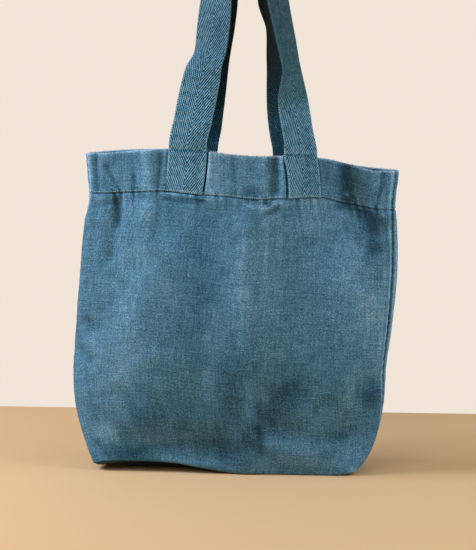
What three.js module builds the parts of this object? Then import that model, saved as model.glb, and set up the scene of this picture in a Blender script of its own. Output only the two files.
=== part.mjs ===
// Linen tote bag, standing open on a table with both handles up.
// Millimetres, +Z up. The front faces -Y, and the origin is on the table under the middle of the bag.
import * as THREE from 'three';

// Cloth, hem and webbing
const CLOTH_THICK = 1.2;
const HEM_GAP = 0.6;
const PIECE_GAP = 0.3;
const WEBBING_THICK = 1.8;
const WEBBING_WIDTH = 44;

// One panel lies flat at this width, seam to seam, and its lower corners are boxed to the base's depth
const PANEL_WIDTH = 375;
const BASE_DEPTH = 77;
const BASE_EDGE_RADIUS = 5;
const BASE_SEAM_HALF = 140;

// Tops of the handles: both loops are side by side over the same place
const ARCH_START = 664;
const ARCH_RADIUS = 21;
const ARCH_Y = 24.5;

// Cross-sections of the closed bag. left and right are its sides, front and back its depth each way,
// round goes from 0 (square corners) to 1 (an ellipse), and shift is how far the cloth has crept round
// the bag, which brings the right-hand seam to the front.
const SECTIONS = [
  { z: 0, left: -156.5, right: 142, front: 38.5, back: 38.5, round: 0.05, shift: 0 },
  { z: 12, left: -164, right: 150.5, front: 39, back: 39, round: 0.2, shift: 1 },
  { z: 25, left: -170.5, right: 158.5, front: 39.5, back: 39.5, round: 0.36, shift: 3 },
  { z: 52, left: -180, right: 168, front: 40.5, back: 40.5, round: 0.57, shift: 6 },
  { z: 83, left: -186, right: 173.5, front: 41, back: 41, round: 0.71, shift: 8 },
  { z: 124, left: -187, right: 176, front: 41, back: 41, round: 0.83, shift: 9 },
  { z: 168, left: -183.5, right: 181, front: 39, back: 39, round: 0.91, shift: 10 },
  { z: 230, left: -178.5, right: 186, front: 36, back: 36, round: 0.95, shift: 10 },
  { z: 285, left: -173, right: 185, front: 33, back: 32, round: 0.95, shift: 7 },
  { z: 311, left: -167.5, right: 182.5, front: 30, back: 27, round: 0.95, shift: 4 },
  { z: 340, left: -168.5, right: 185.5, front: 27, back: 23, round: 0.95, shift: 3.5 },
  { z: 374, left: -171, right: 187.5, front: 24, back: 19, round: 0.95, shift: 3.5 },
];

// Heights of the hem's stitch line and of the rim, across each panel as seen from its own side
const FRONT_EDGES = [
  { across: -187.5, hem: 319, rim: 366 },
  { across: -115, hem: 323, rim: 370 },
  { across: -84, hem: 324.5, rim: 372 },
  { across: -42, hem: 321, rim: 371 },
  { across: -8, hem: 318.5, rim: 366 },
  { across: 24, hem: 315.5, rim: 364 },
  { across: 60, hem: 317.5, rim: 365 },
  { across: 108, hem: 317, rim: 361.5 },
  { across: 136, hem: 310.5, rim: 355.5 },
  { across: 158, hem: 307, rim: 348.5 },
  { across: 187.5, hem: 303, rim: 348 },
];
const BACK_EDGES = [
  { across: -187.5, hem: 303, rim: 348 },
  { across: -140, hem: 307, rim: 352.5 },
  { across: -80, hem: 312, rim: 358 },
  { across: -20, hem: 312, rim: 357 },
  { across: 50, hem: 319, rim: 365 },
  { across: 120, hem: 324, rim: 371 },
  { across: 187.5, hem: 319, rim: 366 },
];

// The mouth is wavy: how far each hem stands out at each place, and how much of that lower folds keep
const FRONT_WAVES = [
  { x: -175, out: 0 },
  { x: -152, out: -1.5 },
  { x: -128, out: 2 },
  { x: -102, out: 1 },
  { x: -84, out: -4.5 },
  { x: -70, out: 0 },
  { x: -36, out: 6 },
  { x: -24, out: -2 },
  { x: 8, out: 1 },
  { x: 34, out: 0 },
  { x: 47, out: -4 },
  { x: 60, out: 9 },
  { x: 80, out: -2 },
  { x: 98, out: -13 },
  { x: 120, out: -15 },
  { x: 148, out: -3 },
  { x: 166, out: -4 },
  { x: 180, out: 0 },
];
const BACK_WAVES = [
  { x: -175, out: 0 },
  { x: -140, out: 2.5 },
  { x: -100, out: -2 },
  { x: -62, out: 3 },
  { x: -12, out: -4 },
  { x: 36, out: 2 },
  { x: 82, out: 4 },
  { x: 120, out: -2.5 },
  { x: 155, out: 2 },
  { x: 180, out: 0 },
];
const WAVE_SHARES = [
  { z: 150, share: 0 },
  { z: 235, share: 0.22 },
  { z: 285, share: 0.6 },
  { z: 315, share: 1 },
  { z: 380, share: 1 },
];

// Soft folds of the faces: a ridge (out above 0) or a trough (below 0) from one place to another
const FRONT_FOLDS = [
  { x0: 17, z0: 285, x1: 15, z1: 10, width: 17, out: 4.5 },
  { x0: 42, z0: 270, x1: 40, z1: 90, width: 14, out: -2.5 },
  { x0: -134, z0: 166, x1: -82, z1: 258, width: 17, out: 3.5 },
  { x0: -124, z0: 310, x1: -143, z1: 240, width: 10, out: -5.5 },
  { x0: -98, z0: 300, x1: -92, z1: 262, width: 13, out: 3 },
  { x0: -118, z0: 52, x1: -22, z1: 58, width: 21, out: -6.5 },
  { x0: -122, z0: 19, x1: -14, z1: 19, width: 8, out: 3 },
  { x0: 44, z0: 60, x1: 64, z1: 32, width: 11, out: -5 },
  { x0: 72, z0: 36, x1: 110, z1: 32, width: 11, out: 2.5 },
  { x0: 128, z0: 56, x1: 144, z1: 42, width: 10, out: -5 },
  { x0: -168, z0: 172, x1: -158, z1: 166, width: 9, out: -4 },
  { x0: -178, z0: 136, x1: -166, z1: 126, width: 9, out: -4 },
  { x0: 150, z0: 302, x1: 170, z1: 280, width: 12, out: -5 },
  { x0: 176, z0: 122, x1: 160, z1: 108, width: 12, out: -4.5 },
  { x0: 92, z0: 205, x1: 128, z1: 96, width: 20, out: 2 },
];
const BACK_FOLDS = [
  { x0: -18, z0: 270, x1: -26, z1: 20, width: 18, out: 4 },
  { x0: 112, z0: 290, x1: 138, z1: 225, width: 12, out: -4.5 },
  { x0: -116, z0: 250, x1: -62, z1: 168, width: 18, out: 3.5 },
  { x0: 24, z0: 58, x1: 108, z1: 50, width: 20, out: -6 },
  { x0: -124, z0: 62, x1: -66, z1: 36, width: 12, out: -4.5 },
  { x0: 92, z0: 200, x1: 60, z1: 120, width: 18, out: 3 },
  { x0: -160, z0: 296, x1: -146, z1: 262, width: 11, out: -4 },
];

// The left front edge of the base doesn't quite reach the table
const BASE_LIFTS = [
  { x: -159, lift: 10.5 },
  { x: -120, lift: 12 },
  { x: -68, lift: 11 },
  { x: -50, lift: 8.5 },
  { x: -33, lift: 5.5 },
  { x: -16, lift: 2.5 },
  { x: 4, lift: 0 },
];

// Where each handle is sewn on (middle of the webbing along the panel, at the stitch line and at the rim),
// and its free legs: place and turn of the webbing at each height. Each handle is seen from its own side.
const FRONT_HANDLE = {
  left: { atHem: -60, atRim: -55.5, legs: [
    { z: 372, x: -51.5, y: -27, turn: 10 },
    { z: 400, x: -45.8, y: -26, turn: 6 },
    { z: 428, x: -40.2, y: -25.5, turn: 4 },
    { z: 456, x: -33.8, y: -25, turn: 14 },
    { z: 471, x: -28.6, y: -25, turn: 32 },
    { z: 484, x: -24.8, y: -25, turn: 33 },
    { z: 512, x: -21.2, y: -24.5, turn: 29 },
    { z: 540, x: -18.2, y: -24.5, turn: 32 },
    { z: 600, x: -10, y: -24.5, turn: 62 },
    { z: ARCH_START, x: -6, y: -ARCH_Y, turn: 90 },
  ] },
  right: { atHem: 91, atRim: 84, legs: [
    { z: 364, x: 78, y: -23, turn: 40 },
    { z: 395, x: 73.2, y: -23.5, turn: 42 },
    { z: 426, x: 68.3, y: -24, turn: 46 },
    { z: 462, x: 66.3, y: -24, turn: 66 },
    { z: 490, x: 61, y: -24.5, turn: 64 },
    { z: 517, x: 55.4, y: -24.5, turn: 62 },
    { z: 540, x: 50.8, y: -24.5, turn: 61 },
    { z: 600, x: 41, y: -24.5, turn: 76 },
    { z: ARCH_START, x: 36, y: -ARCH_Y, turn: 90 },
  ] },
};
const BACK_HANDLE = {
  left: { atHem: -50, atRim: -46, legs: [
    { z: 358, x: -65.5, y: -22, turn: 8 },
    { z: 395, x: -58.5, y: -23, turn: 14 },
    { z: 432, x: -54, y: -24, turn: 26 },
    { z: 470, x: -51.5, y: -24, turn: 38 },
    { z: 507, x: -48, y: -24.5, turn: 46 },
    { z: 540, x: -38.5, y: -24.5, turn: 48 },
    { z: 600, x: -36, y: -24.5, turn: 70 },
    { z: ARCH_START, x: -36, y: -ARCH_Y, turn: 90 },
  ] },
  right: { atHem: 66, atRim: 62, legs: [
    { z: 366, x: 42, y: -24, turn: 6 },
    { z: 395, x: 39, y: -24, turn: 12 },
    { z: 426, x: 34.5, y: -24, turn: 22 },
    { z: 456, x: 29, y: -24, turn: 34 },
    { z: 484, x: 23.5, y: -24, turn: 42 },
    { z: 512, x: 18.5, y: -24.5, turn: 46 },
    { z: 540, x: 14, y: -24.5, turn: 50 },
    { z: 600, x: 8, y: -24.5, turn: 72 },
    { z: ARCH_START, x: 6, y: -ARCH_Y, turn: 90 },
  ] },
};

// Fineness of the solids
const RING_STEPS = 360;
const WALL_ROWS = 15;
const WALL_ROW_SPREAD = 1.12;
const HEM_ROWS = 3;
const BASE_ROWS = 3;
const WEBBING_COLUMNS = 4;
const LEG_STEP = 14;
const LEG_BLEND = 30;
const ARCH_STEPS = 12;
const NORMAL_STEP = 2;
const SEAM_FADE = 14;

// Distances of a panel's first columns from its side seam, then the columns between and beside the handles
const SEAM_COLUMNS = [0, 4, 8, 13, 20, 29, BASE_DEPTH / 2];
const SIDE_COLUMNS = 6;
const MIDDLE_COLUMNS = 8;

const PANEL_HALF = PANEL_WIDTH / 2;
const HEM_FOLD = CLOTH_THICK + HEM_GAP;
const { lerp, smoothstep, degToRad } = THREE.MathUtils;

// One column of a table, as a smooth curve through its rows, level beyond the first and last
function tableValue(table, key, at, name) {
  const next = table.findIndex((row) => row[key] >= at);
  if (next === -1) return table.at(-1)[name];
  if (next === 0) return table[0][name];
  const slope = (index) => {
    const before = table[Math.max(index - 1, 0)];
    const after = table[Math.min(index + 1, table.length - 1)];
    return (after[name] - before[name]) / (after[key] - before[key]);
  };
  const low = table[next - 1];
  const high = table[next];
  const span = high[key] - low[key];
  const t = (at - low[key]) / span;
  const rise = t * t * (3 - 2 * t);
  const leaving = t * (1 - t) * (1 - t) * span * slope(next - 1);
  const arriving = t * t * (1 - t) * span * slope(next);
  return lerp(low[name], high[name], rise) + leaving - arriving;
}

// Height that the folds add at a place on a face
function foldHeight(folds, x, z) {
  let out = 0;
  for (const fold of folds) {
    const alongX = fold.x1 - fold.x0;
    const alongZ = fold.z1 - fold.z0;
    const share = ((x - fold.x0) * alongX + (z - fold.z0) * alongZ) / (alongX ** 2 + alongZ ** 2);
    const nearest = Math.min(Math.max(share, 0), 1);
    const away = Math.hypot(x - fold.x0 - nearest * alongX, z - fold.z0 - nearest * alongZ);
    out += fold.out * Math.exp(-((away / fold.width) ** 2));
  }
  return out;
}

// Closed cross-section at one height, from the left side round the front, the right side and the back,
// with the distance along the cloth at each point
function ringAt(z) {
  const value = (name) => tableValue(SECTIONS, 'z', z, name);
  const middle = (value('left') + value('right')) / 2;
  const reach = (value('right') - value('left')) / 2;
  const front = value('front');
  const back = value('back');
  const power = value('round');
  const share = tableValue(WAVE_SHARES, 'z', z, 'share');
  const points = [];
  const lengths = [0];
  for (let i = 0; i <= RING_STEPS; i += 1) {
    const angle = (2 * Math.PI * i) / RING_STEPS;
    const cosine = Math.cos(angle);
    const isFront = i < RING_STEPS / 2;
    const x = middle - reach * Math.sign(cosine) * Math.abs(cosine) ** power;
    const bulge = Math.abs(Math.sin(angle)) ** power;
    const wave = share * tableValue(isFront ? FRONT_WAVES : BACK_WAVES, 'x', x, 'out');
    const y = isFront ? -(front * bulge + wave) : back * bulge + wave;
    points.push(new THREE.Vector2(x, y));
    if (i > 0) lengths.push(lengths[i - 1] + points[i].distanceTo(points[i - 1]));
  }
  return { points, lengths, shift: value('shift') };
}

// Place on a cross-section of a panel's cloth, across being measured from the panel's middle,
// to the right as seen from its own side
function ringPoint(ring, panel, across) {
  const total = ring.lengths.at(-1);
  const share = (across + PANEL_HALF) / (2 * PANEL_WIDTH) + (panel.isFront ? 0 : 0.5);
  const travel = share - ring.shift / (2 * PANEL_WIDTH);
  const length = (travel - Math.floor(travel)) * total;
  const next = Math.max(ring.lengths.findIndex((value) => value >= length), 1);
  const span = ring.lengths[next] - ring.lengths[next - 1];
  const t = (length - ring.lengths[next - 1]) / span;
  return ring.points[next - 1].clone().lerp(ring.points[next], t);
}

// Direction out of the bag, level, at a place on a cross-section
function ringNormal(ring, panel, across) {
  const before = ringPoint(ring, panel, across - NORMAL_STEP);
  const after = ringPoint(ring, panel, across + NORMAL_STEP);
  return new THREE.Vector3(after.y - before.y, before.x - after.x, 0).normalize();
}

// Middle of the cloth at a place on a panel's wall, folds included
function wallPoint(panel, across, z) {
  const ring = ringAt(z);
  const flat = ringPoint(ring, panel, across);
  const fade = smoothstep(PANEL_HALF - Math.abs(across), 0, SEAM_FADE);
  const out = fade * foldHeight(panel.folds, flat.x, z);
  return new THREE.Vector3(flat.x, flat.y, z).addScaledVector(ringNormal(ring, panel, across), out);
}

// Direction out of the cloth at a place on a panel's wall
function wallNormal(panel, across, z) {
  const aside = wallPoint(panel, across + NORMAL_STEP, z).sub(wallPoint(panel, across - NORMAL_STEP, z));
  const up = wallPoint(panel, across, z + NORMAL_STEP).sub(wallPoint(panel, across, z - NORMAL_STEP));
  return aside.cross(up).normalize();
}

// Level direction out of a panel's hem
function hemNormal(panel, across, z) {
  return wallNormal(panel, across, z).setZ(0).normalize();
}

// Across the panel to the middle of a handle's end, at a share of the hem's height
function handleMiddle(end, share) {
  return lerp(end.atHem, end.atRim, share);
}

// Places of a panel's columns, left to right, at a share of the hem's height
function columnPlaces(panel, share) {
  const half = WEBBING_WIDTH / 2;
  const edge = PANEL_HALF - PIECE_GAP / 2;
  const leftMiddle = handleMiddle(panel.handle.left, share);
  const rightMiddle = handleMiddle(panel.handle.right, share);
  const between = (from, to, count) => {
    const places = [];
    for (let i = 0; i < count; i += 1) places.push(lerp(from, to, i / count));
    return places;
  };
  const inner = edge - SEAM_COLUMNS.at(-1);
  const leftSeam = SEAM_COLUMNS.slice(0, -1).map((distance) => distance - edge);
  const rightSeam = SEAM_COLUMNS.map((distance) => edge - distance).reverse();
  return [
    ...leftSeam,
    ...between(-inner, leftMiddle - half, SIDE_COLUMNS),
    ...between(leftMiddle - half, leftMiddle + half, WEBBING_COLUMNS),
    ...between(leftMiddle + half, rightMiddle - half, MIDDLE_COLUMNS),
    ...between(rightMiddle - half, rightMiddle + half, WEBBING_COLUMNS),
    ...between(rightMiddle + half, inner, SIDE_COLUMNS),
    ...rightSeam,
  ];
}

// Lift of the base's edge above the table, which dies away along the side towards the seam
function baseLift(panel, place) {
  const forward = smoothstep(-place.y, 0, BASE_DEPTH / 2);
  return panel.isFront ? forward * tableValue(BASE_LIFTS, 'x', place.x, 'lift') : 0;
}

// Base and its rounded edge under one column, from the middle seam outwards
function basePoints(panel, across) {
  const ring = ringAt(0);
  const corner = ringPoint(ring, panel, across);
  const side = panel.isFront ? 1 : -1;
  const ringMiddle = (ring.points[0].x + ring.points[RING_STEPS / 2].x) / 2;
  const seam = new THREE.Vector2(
    ringMiddle + (side * across * BASE_SEAM_HALF) / PANEL_HALF,
    (-side * PIECE_GAP) / 2,
  );
  const inward = seam.clone().sub(corner).normalize();
  const lift = baseLift(panel, corner);
  const flatStart = corner.clone().addScaledVector(inward, BASE_EDGE_RADIUS);
  const down = new THREE.Vector3(0, 0, -1);
  const places = [];
  for (let i = 0; i <= BASE_ROWS; i += 1) {
    const share = i / BASE_ROWS;
    const place = seam.clone().lerp(flatStart, share);
    places.push({
      at: new THREE.Vector3(place.x, place.y, CLOTH_THICK / 2 + lift * share * share),
      normal: down.clone(),
    });
  }
  const diagonal = 1 - Math.SQRT1_2;
  const rounded = corner.clone().addScaledVector(inward, BASE_EDGE_RADIUS * diagonal);
  places.push({
    at: new THREE.Vector3(rounded.x, rounded.y, CLOTH_THICK / 2 + lift + BASE_EDGE_RADIUS * diagonal),
    normal: new THREE.Vector3(-inward.x, -inward.y, -1).normalize(),
  });
  return places;
}

// One panel as rows of places with their normals, from the base's middle seam up the wall,
// over the rim and down the inside of the hem
function panelRows(panel) {
  const edgeAt = (across, name) => tableValue(panel.edges, 'across', across, name);
  const bodyPlaces = columnPlaces(panel, 0);
  const base = bodyPlaces.map((across) => basePoints(panel, across));
  const rows = [];
  for (let i = 0; i < base[0].length; i += 1) rows.push(base.map((column) => column[i]));
  for (let i = 0; i < WALL_ROWS; i += 1) {
    const share = (i / WALL_ROWS) ** WALL_ROW_SPREAD;
    rows.push(bodyPlaces.map((across) => {
      const lift = baseLift(panel, ringPoint(ringAt(0), panel, across));
      const bottom = CLOTH_THICK / 2 + BASE_EDGE_RADIUS + lift;
      const z = lerp(bottom, edgeAt(across, 'hem'), share);
      return { at: wallPoint(panel, across, z), normal: wallNormal(panel, across, z) };
    }));
  }
  const hemRows = [];
  for (let i = 0; i <= HEM_ROWS; i += 1) {
    const share = i / HEM_ROWS;
    hemRows.push(columnPlaces(panel, share).map((across) => {
      const top = edgeAt(across, 'rim') - (CLOTH_THICK + HEM_FOLD) / 2;
      const z = lerp(edgeAt(across, 'hem'), top, share);
      return { at: wallPoint(panel, across, z), normal: hemNormal(panel, across, z) };
    }));
  }
  const inside = (place, depth) => place.at.clone().addScaledVector(place.normal, -depth);
  const rim = hemRows.at(-1).map((place) => ({
    at: inside(place, HEM_FOLD / 2).add(new THREE.Vector3(0, 0, HEM_FOLD / 2)),
    normal: new THREE.Vector3(0, 0, 1),
  }));
  const innerRows = [...hemRows].reverse().map((row) => row.map((place) => ({
    at: inside(place, HEM_FOLD),
    normal: place.normal.clone().negate(),
  })));
  return { rows: [...rows, ...hemRows, rim, ...innerRows], hemRows };
}

// Closed solid of a sheet, from rows of places with their normals
function sheetGeometry(rows, thick) {
  const height = rows.length;
  const width = rows[0].length;
  const positions = [];
  for (const side of [0.5, -0.5]) {
    for (const row of rows) {
      for (const place of row) {
        positions.push(...place.at.clone().addScaledVector(place.normal, side * thick).toArray());
      }
    }
  }
  const indices = [];
  const quad = (a, b, c, d) => indices.push(a, b, c, a, c, d);
  const outer = (row, column) => row * width + column;
  const inner = (row, column) => height * width + row * width + column;
  for (let row = 0; row < height - 1; row += 1) {
    for (let column = 0; column < width - 1; column += 1) {
      quad(outer(row, column), outer(row, column + 1), outer(row + 1, column + 1), outer(row + 1, column));
      quad(inner(row, column), inner(row + 1, column), inner(row + 1, column + 1), inner(row, column + 1));
    }
    const last = width - 1;
    quad(outer(row, 0), outer(row + 1, 0), inner(row + 1, 0), inner(row, 0));
    quad(outer(row + 1, last), outer(row, last), inner(row, last), inner(row + 1, last));
  }
  for (let column = 0; column < width - 1; column += 1) {
    const last = height - 1;
    quad(outer(0, column + 1), outer(0, column), inner(0, column), inner(0, column + 1));
    quad(outer(last, column), outer(last, column + 1), inner(last, column + 1), inner(last, column));
  }
  const geometry = new THREE.BufferGeometry();
  geometry.setAttribute('position', new THREE.Float32BufferAttribute(positions, 3));
  geometry.setIndex(indices);
  geometry.computeVertexNormals();
  return geometry;
}

// The webbing's rows on the hem, from the stitch line up, columns left to right as seen from outside
function sewnRows(hemRows, isLeft, turnBack) {
  const before = SEAM_COLUMNS.length - 1 + SIDE_COLUMNS;
  const first = isLeft ? before : before + WEBBING_COLUMNS + MIDDLE_COLUMNS;
  const stand = CLOTH_THICK / 2 + PIECE_GAP + WEBBING_THICK / 2;
  return hemRows.map((row) => row.slice(first, first + WEBBING_COLUMNS + 1).map((place) => ({
    at: place.at.clone().addScaledVector(place.normal, stand).applyMatrix4(turnBack),
    normal: place.normal.clone().applyMatrix4(turnBack),
  })));
}

// One row of the webbing, across its middle
function webbingRow(middle, along, acrossWebbing) {
  const level = acrossWebbing.clone().addScaledVector(along, -acrossWebbing.dot(along)).normalize();
  const normal = level.clone().cross(along).normalize();
  const row = [];
  for (let i = 0; i <= WEBBING_COLUMNS; i += 1) {
    const offset = (i / WEBBING_COLUMNS - 0.5) * WEBBING_WIDTH;
    row.push({ at: middle.clone().addScaledVector(level, offset), normal: normal.clone() });
  }
  return row;
}

// The free rows of one leg, from the rim up. The outer face turns outwards, to the left on the left leg.
function legRows(leg, isLeft, rimRow) {
  const legAt = (z) => {
    const value = (name) => tableValue(leg, 'z', z, name);
    return { middle: new THREE.Vector3(value('x'), value('y'), z), turn: degToRad(value('turn')) };
  };
  const start = leg[0].z;
  const count = Math.round((ARCH_START - start) / LEG_STEP);
  const rows = [];
  for (let i = 1; i <= count; i += 1) {
    const z = lerp(start, ARCH_START, i / count);
    const { middle, turn } = legAt(z);
    const along = legAt(z + NORMAL_STEP).middle.sub(legAt(z - NORMAL_STEP).middle).normalize();
    const across = new THREE.Vector3(Math.cos(turn), isLeft ? -Math.sin(turn) : Math.sin(turn), 0);
    const row = webbingRow(middle, along, across);
    const settled = smoothstep(z - start, 0, LEG_BLEND);
    rows.push(row.map((place, column) => {
      const below = rimRow[column];
      const straight = below.at.clone().setZ(below.at.z + z - start);
      return {
        at: straight.lerp(place.at, settled),
        normal: below.normal.clone().lerp(place.normal, settled).normalize(),
      };
    }));
  }
  return rows;
}

// Rows of the arch between the two legs, from the left leg to the right
function archRows(middleX) {
  const rows = [];
  for (let i = 1; i < ARCH_STEPS; i += 1) {
    const angle = Math.PI * (1 - i / ARCH_STEPS);
    const along = new THREE.Vector3(Math.sin(angle), 0, -Math.cos(angle));
    const middle = new THREE.Vector3(middleX, -ARCH_Y, ARCH_START);
    middle.x += ARCH_RADIUS * Math.cos(angle);
    middle.z += ARCH_RADIUS * Math.sin(angle);
    rows.push(webbingRow(middle, along, new THREE.Vector3(0, -1, 0)));
  }
  return rows;
}

// One handle: up its left leg, over the arch and down its right leg, as seen from its own side
function handleRows(panel, hemRows) {
  const turnBack = new THREE.Matrix4().makeRotationZ(panel.isFront ? 0 : -Math.PI);
  const { left, right } = panel.handle;
  const leftSewn = sewnRows(hemRows, true, turnBack);
  const rightSewn = sewnRows(hemRows, false, turnBack);
  const leftFree = legRows(left.legs, true, leftSewn.at(-1));
  const rightFree = legRows(right.legs, false, rightSewn.at(-1));
  const middleX = (left.legs.at(-1).x + right.legs.at(-1).x) / 2;
  const downRight = [...rightSewn, ...rightFree].reverse().map((row) => [...row].reverse());
  return [...leftSewn, ...leftFree, ...archRows(middleX), ...downRight];
}

const linen = () => new THREE.MeshStandardMaterial({ color: '#4a7389', roughness: 0.95, metalness: 0 });
const webbing = () => new THREE.MeshStandardMaterial({ color: '#44687c', roughness: 0.9, metalness: 0 });

const bag = new THREE.Group();

function addPiece(name, geometry, material) {
  const piece = new THREE.Mesh(geometry, material);
  piece.name = name;
  bag.add(piece);
  return piece;
}

const PANELS = [
  {
    name: 'front', isFront: true, edges: FRONT_EDGES, folds: FRONT_FOLDS, handle: FRONT_HANDLE,
  },
  {
    name: 'back', isFront: false, edges: BACK_EDGES, folds: BACK_FOLDS, handle: BACK_HANDLE,
  },
];

for (const panel of PANELS) {
  const { rows, hemRows } = panelRows(panel);
  addPiece(`${panel.name}_panel`, sheetGeometry(rows, CLOTH_THICK), linen());
  const strap = handleRows(panel, hemRows);
  const handle = addPiece(`${panel.name}_handle`, sheetGeometry(strap, WEBBING_THICK), webbing());
  handle.rotation.z = panel.isFront ? 0 : Math.PI;
}

export default bag;
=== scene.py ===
import math

import bpy
import numpy as np
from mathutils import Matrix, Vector


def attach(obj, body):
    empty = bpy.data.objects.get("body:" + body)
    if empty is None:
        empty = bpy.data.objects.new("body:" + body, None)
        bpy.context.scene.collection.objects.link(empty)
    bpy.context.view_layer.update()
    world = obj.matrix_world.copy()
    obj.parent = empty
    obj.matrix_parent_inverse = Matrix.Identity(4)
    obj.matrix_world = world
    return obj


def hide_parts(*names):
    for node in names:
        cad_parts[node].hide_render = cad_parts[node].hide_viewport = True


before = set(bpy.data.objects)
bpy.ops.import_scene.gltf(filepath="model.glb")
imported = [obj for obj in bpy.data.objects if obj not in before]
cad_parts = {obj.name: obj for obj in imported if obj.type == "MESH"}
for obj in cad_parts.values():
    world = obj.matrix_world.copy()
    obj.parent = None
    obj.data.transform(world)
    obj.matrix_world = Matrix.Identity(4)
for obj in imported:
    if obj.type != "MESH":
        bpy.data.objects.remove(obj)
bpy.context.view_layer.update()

MM = 0.001
UP = np.array([0.0, 0.0, 1.0])

# Cloth, hem and webbing
CLOTH_THICK = 1.2
HEM_GAP = 0.6
PIECE_GAP = 0.3
WEBBING_THICK = 1.8
WEBBING_WIDTH = 44
WEBBING_HALF = WEBBING_WIDTH / 2
PANEL_WIDTH = 375
PANEL_HALF = PANEL_WIDTH / 2
BASE_DEPTH = 77
BASE_EDGE_RADIUS = 3
BASE_SEAM_HALF = 140
HEM_FOLD = CLOTH_THICK + HEM_GAP
HEM_TOP = (CLOTH_THICK + HEM_FOLD) / 2

# Tops of the handles
ARCH_START = 664
ARCH_RADIUS = 21
ARCH_Y = 24.5

# How finely the cross-sections are worked out, the distance over which a direction is measured, and how far
# from the side seams the folds fade
RING_STEPS = 720
RING_PLACES = 1500
RING_TOP = 380
NORMAL_STEP = 2
SEAM_FADE = 14


def table(columns, *rows):
    """Columns of numbers by name, from rows."""
    names = columns.split()
    return {name: np.array([row[i] for row in rows], float) for i, name in enumerate(names)}


# Cross-sections of the closed bag. left and right are its sides, front and back its depth each way,
# round is 0 for square corners and 1 for an ellipse, and shift is how far the cloth has crept round.
SECTIONS = table(
    "z left right front back round shift",
    (0, -156.5, 136.5, 33.5, 38.5, 0.05, 0),
    (12, -164, 149, 35, 39, 0.24, 1),
    (25, -170.5, 157.5, 37, 39.5, 0.42, 2),
    (52, -180, 166.5, 41.5, 40.5, 0.67, 3),
    (83, -186, 171.5, 45.5, 41, 0.82, 4),
    (124, -187, 174, 47.5, 41, 0.98, 5),
    (168, -183.5, 180, 46, 39, 1.06, 6),
    (230, -178.5, 186, 40.5, 36, 1.08, 8),
    (285, -173, 185, 33.5, 32, 1.05, 6),
    (311, -167.5, 182.5, 29, 27, 0.98, 0.5),
    (340, -168.5, 185.5, 26, 23, 0.95, -1.5),
    (374, -171, 187.5, 24, 19, 0.95, -1.5),
)

# Heights of the hem's stitch line and of the rim, across each panel as seen from its own side
FRONT_EDGES = table(
    "across hem rim",
    (-187.5, 319, 366),
    (-160, 320.5, 366.5),
    (-123, 323, 370),
    (-92, 324.5, 372),
    (-50, 321, 371),
    (-16, 318.5, 366.5),
    (16, 315.5, 364.5),
    (52, 317.5, 365),
    (100, 317, 361.5),
    (128, 310.5, 355),
    (142, 308.5, 351.8),
    (156, 306.3, 348.4),
    (168, 304.6, 347.6),
    (187.5, 303, 348),
)
BACK_EDGES = table(
    "across hem rim",
    (-187.5, 303, 348),
    (-152, 307, 349.5),
    (-128, 308.5, 352.5),
    (-88, 312, 358),
    (-28, 312, 357),
    (42, 319, 364),
    (112, 324, 369.5),
    (187.5, 319, 365.5),
)

# The mouth is wavy: how far each hem stands out at each place, and how much of that is left lower down
FRONT_WAVES = table(
    "x out",
    (-175, 0),
    (-152, -1.5),
    (-128, 0),
    (-108, 1.8),
    (-95, 2.6),
    (-87, -1.6),
    (-70, 0),
    (-46, 1),
    (-37, -0.6),
    (-24, 1),
    (2, 0.6),
    (18, 0.5),
    (34, 3.4),
    (44, 4.8),
    (52, 6.8),
    (60, 10.5),
    (78, -4),
    (97, -14),
    (114, -17),
    (128, -20.5),
    (138, -18.5),
    (150, -11),
    (163, -4),
    (180, 0),
)
BACK_WAVES = table(
    "x out",
    (-175, 0),
    (-140, 2.5),
    (-100, -2),
    (-62, 3),
    (-12, -4),
    (36, 2),
    (82, 4),
    (120, -2.5),
    (155, 2),
    (180, 0),
)
WAVE_SHARES = table("z share", (150, 0), (235, 0.22), (285, 0.6), (315, 1), (380, 1))

# Soft folds of the faces: a ridge (out above 0) or a trough (below 0) from one place to another
FOLD_COLUMNS = "x0 z0 x1 z1 width out"
FRONT_FOLDS = table(
    FOLD_COLUMNS,
    (17, 285, 15, 10, 17, 4.5),
    (42, 270, 40, 90, 14, -2.5),
    (-118, 166, -72, 258, 20, 4),
    (-129, 314, -138, 248, 9, -4.5),
    (-98, 300, -92, 262, 13, 3),
    (-118, 32, -10, 34, 20, -6.5),
    (-122, 8, -14, 8, 7, 2),
    (44, 60, 70, 46, 16, -4.5),
    (60, 26, 110, 26, 11, 2.5),
    (128, 56, 144, 42, 12, -2.5),
    (-168, 172, -158, 166, 9, -4),
    (-178, 136, -166, 126, 9, -4),
    (150, 302, 170, 280, 12, -5),
    (176, 122, 160, 108, 12, -4.5),
    (92, 205, 128, 96, 20, 2),
    (52, 366, 54, 326, 4.5, -3.4),
)
BACK_FOLDS = table(
    FOLD_COLUMNS,
    (-18, 270, -26, 20, 18, 4),
    (112, 290, 138, 225, 12, -4.5),
    (-116, 250, -62, 168, 18, 3.5),
    (24, 58, 108, 50, 20, -6),
    (-124, 62, -66, 36, 12, -4.5),
    (92, 200, 60, 120, 18, 3),
    (-160, 296, -146, 262, 11, -4),
)

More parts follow.
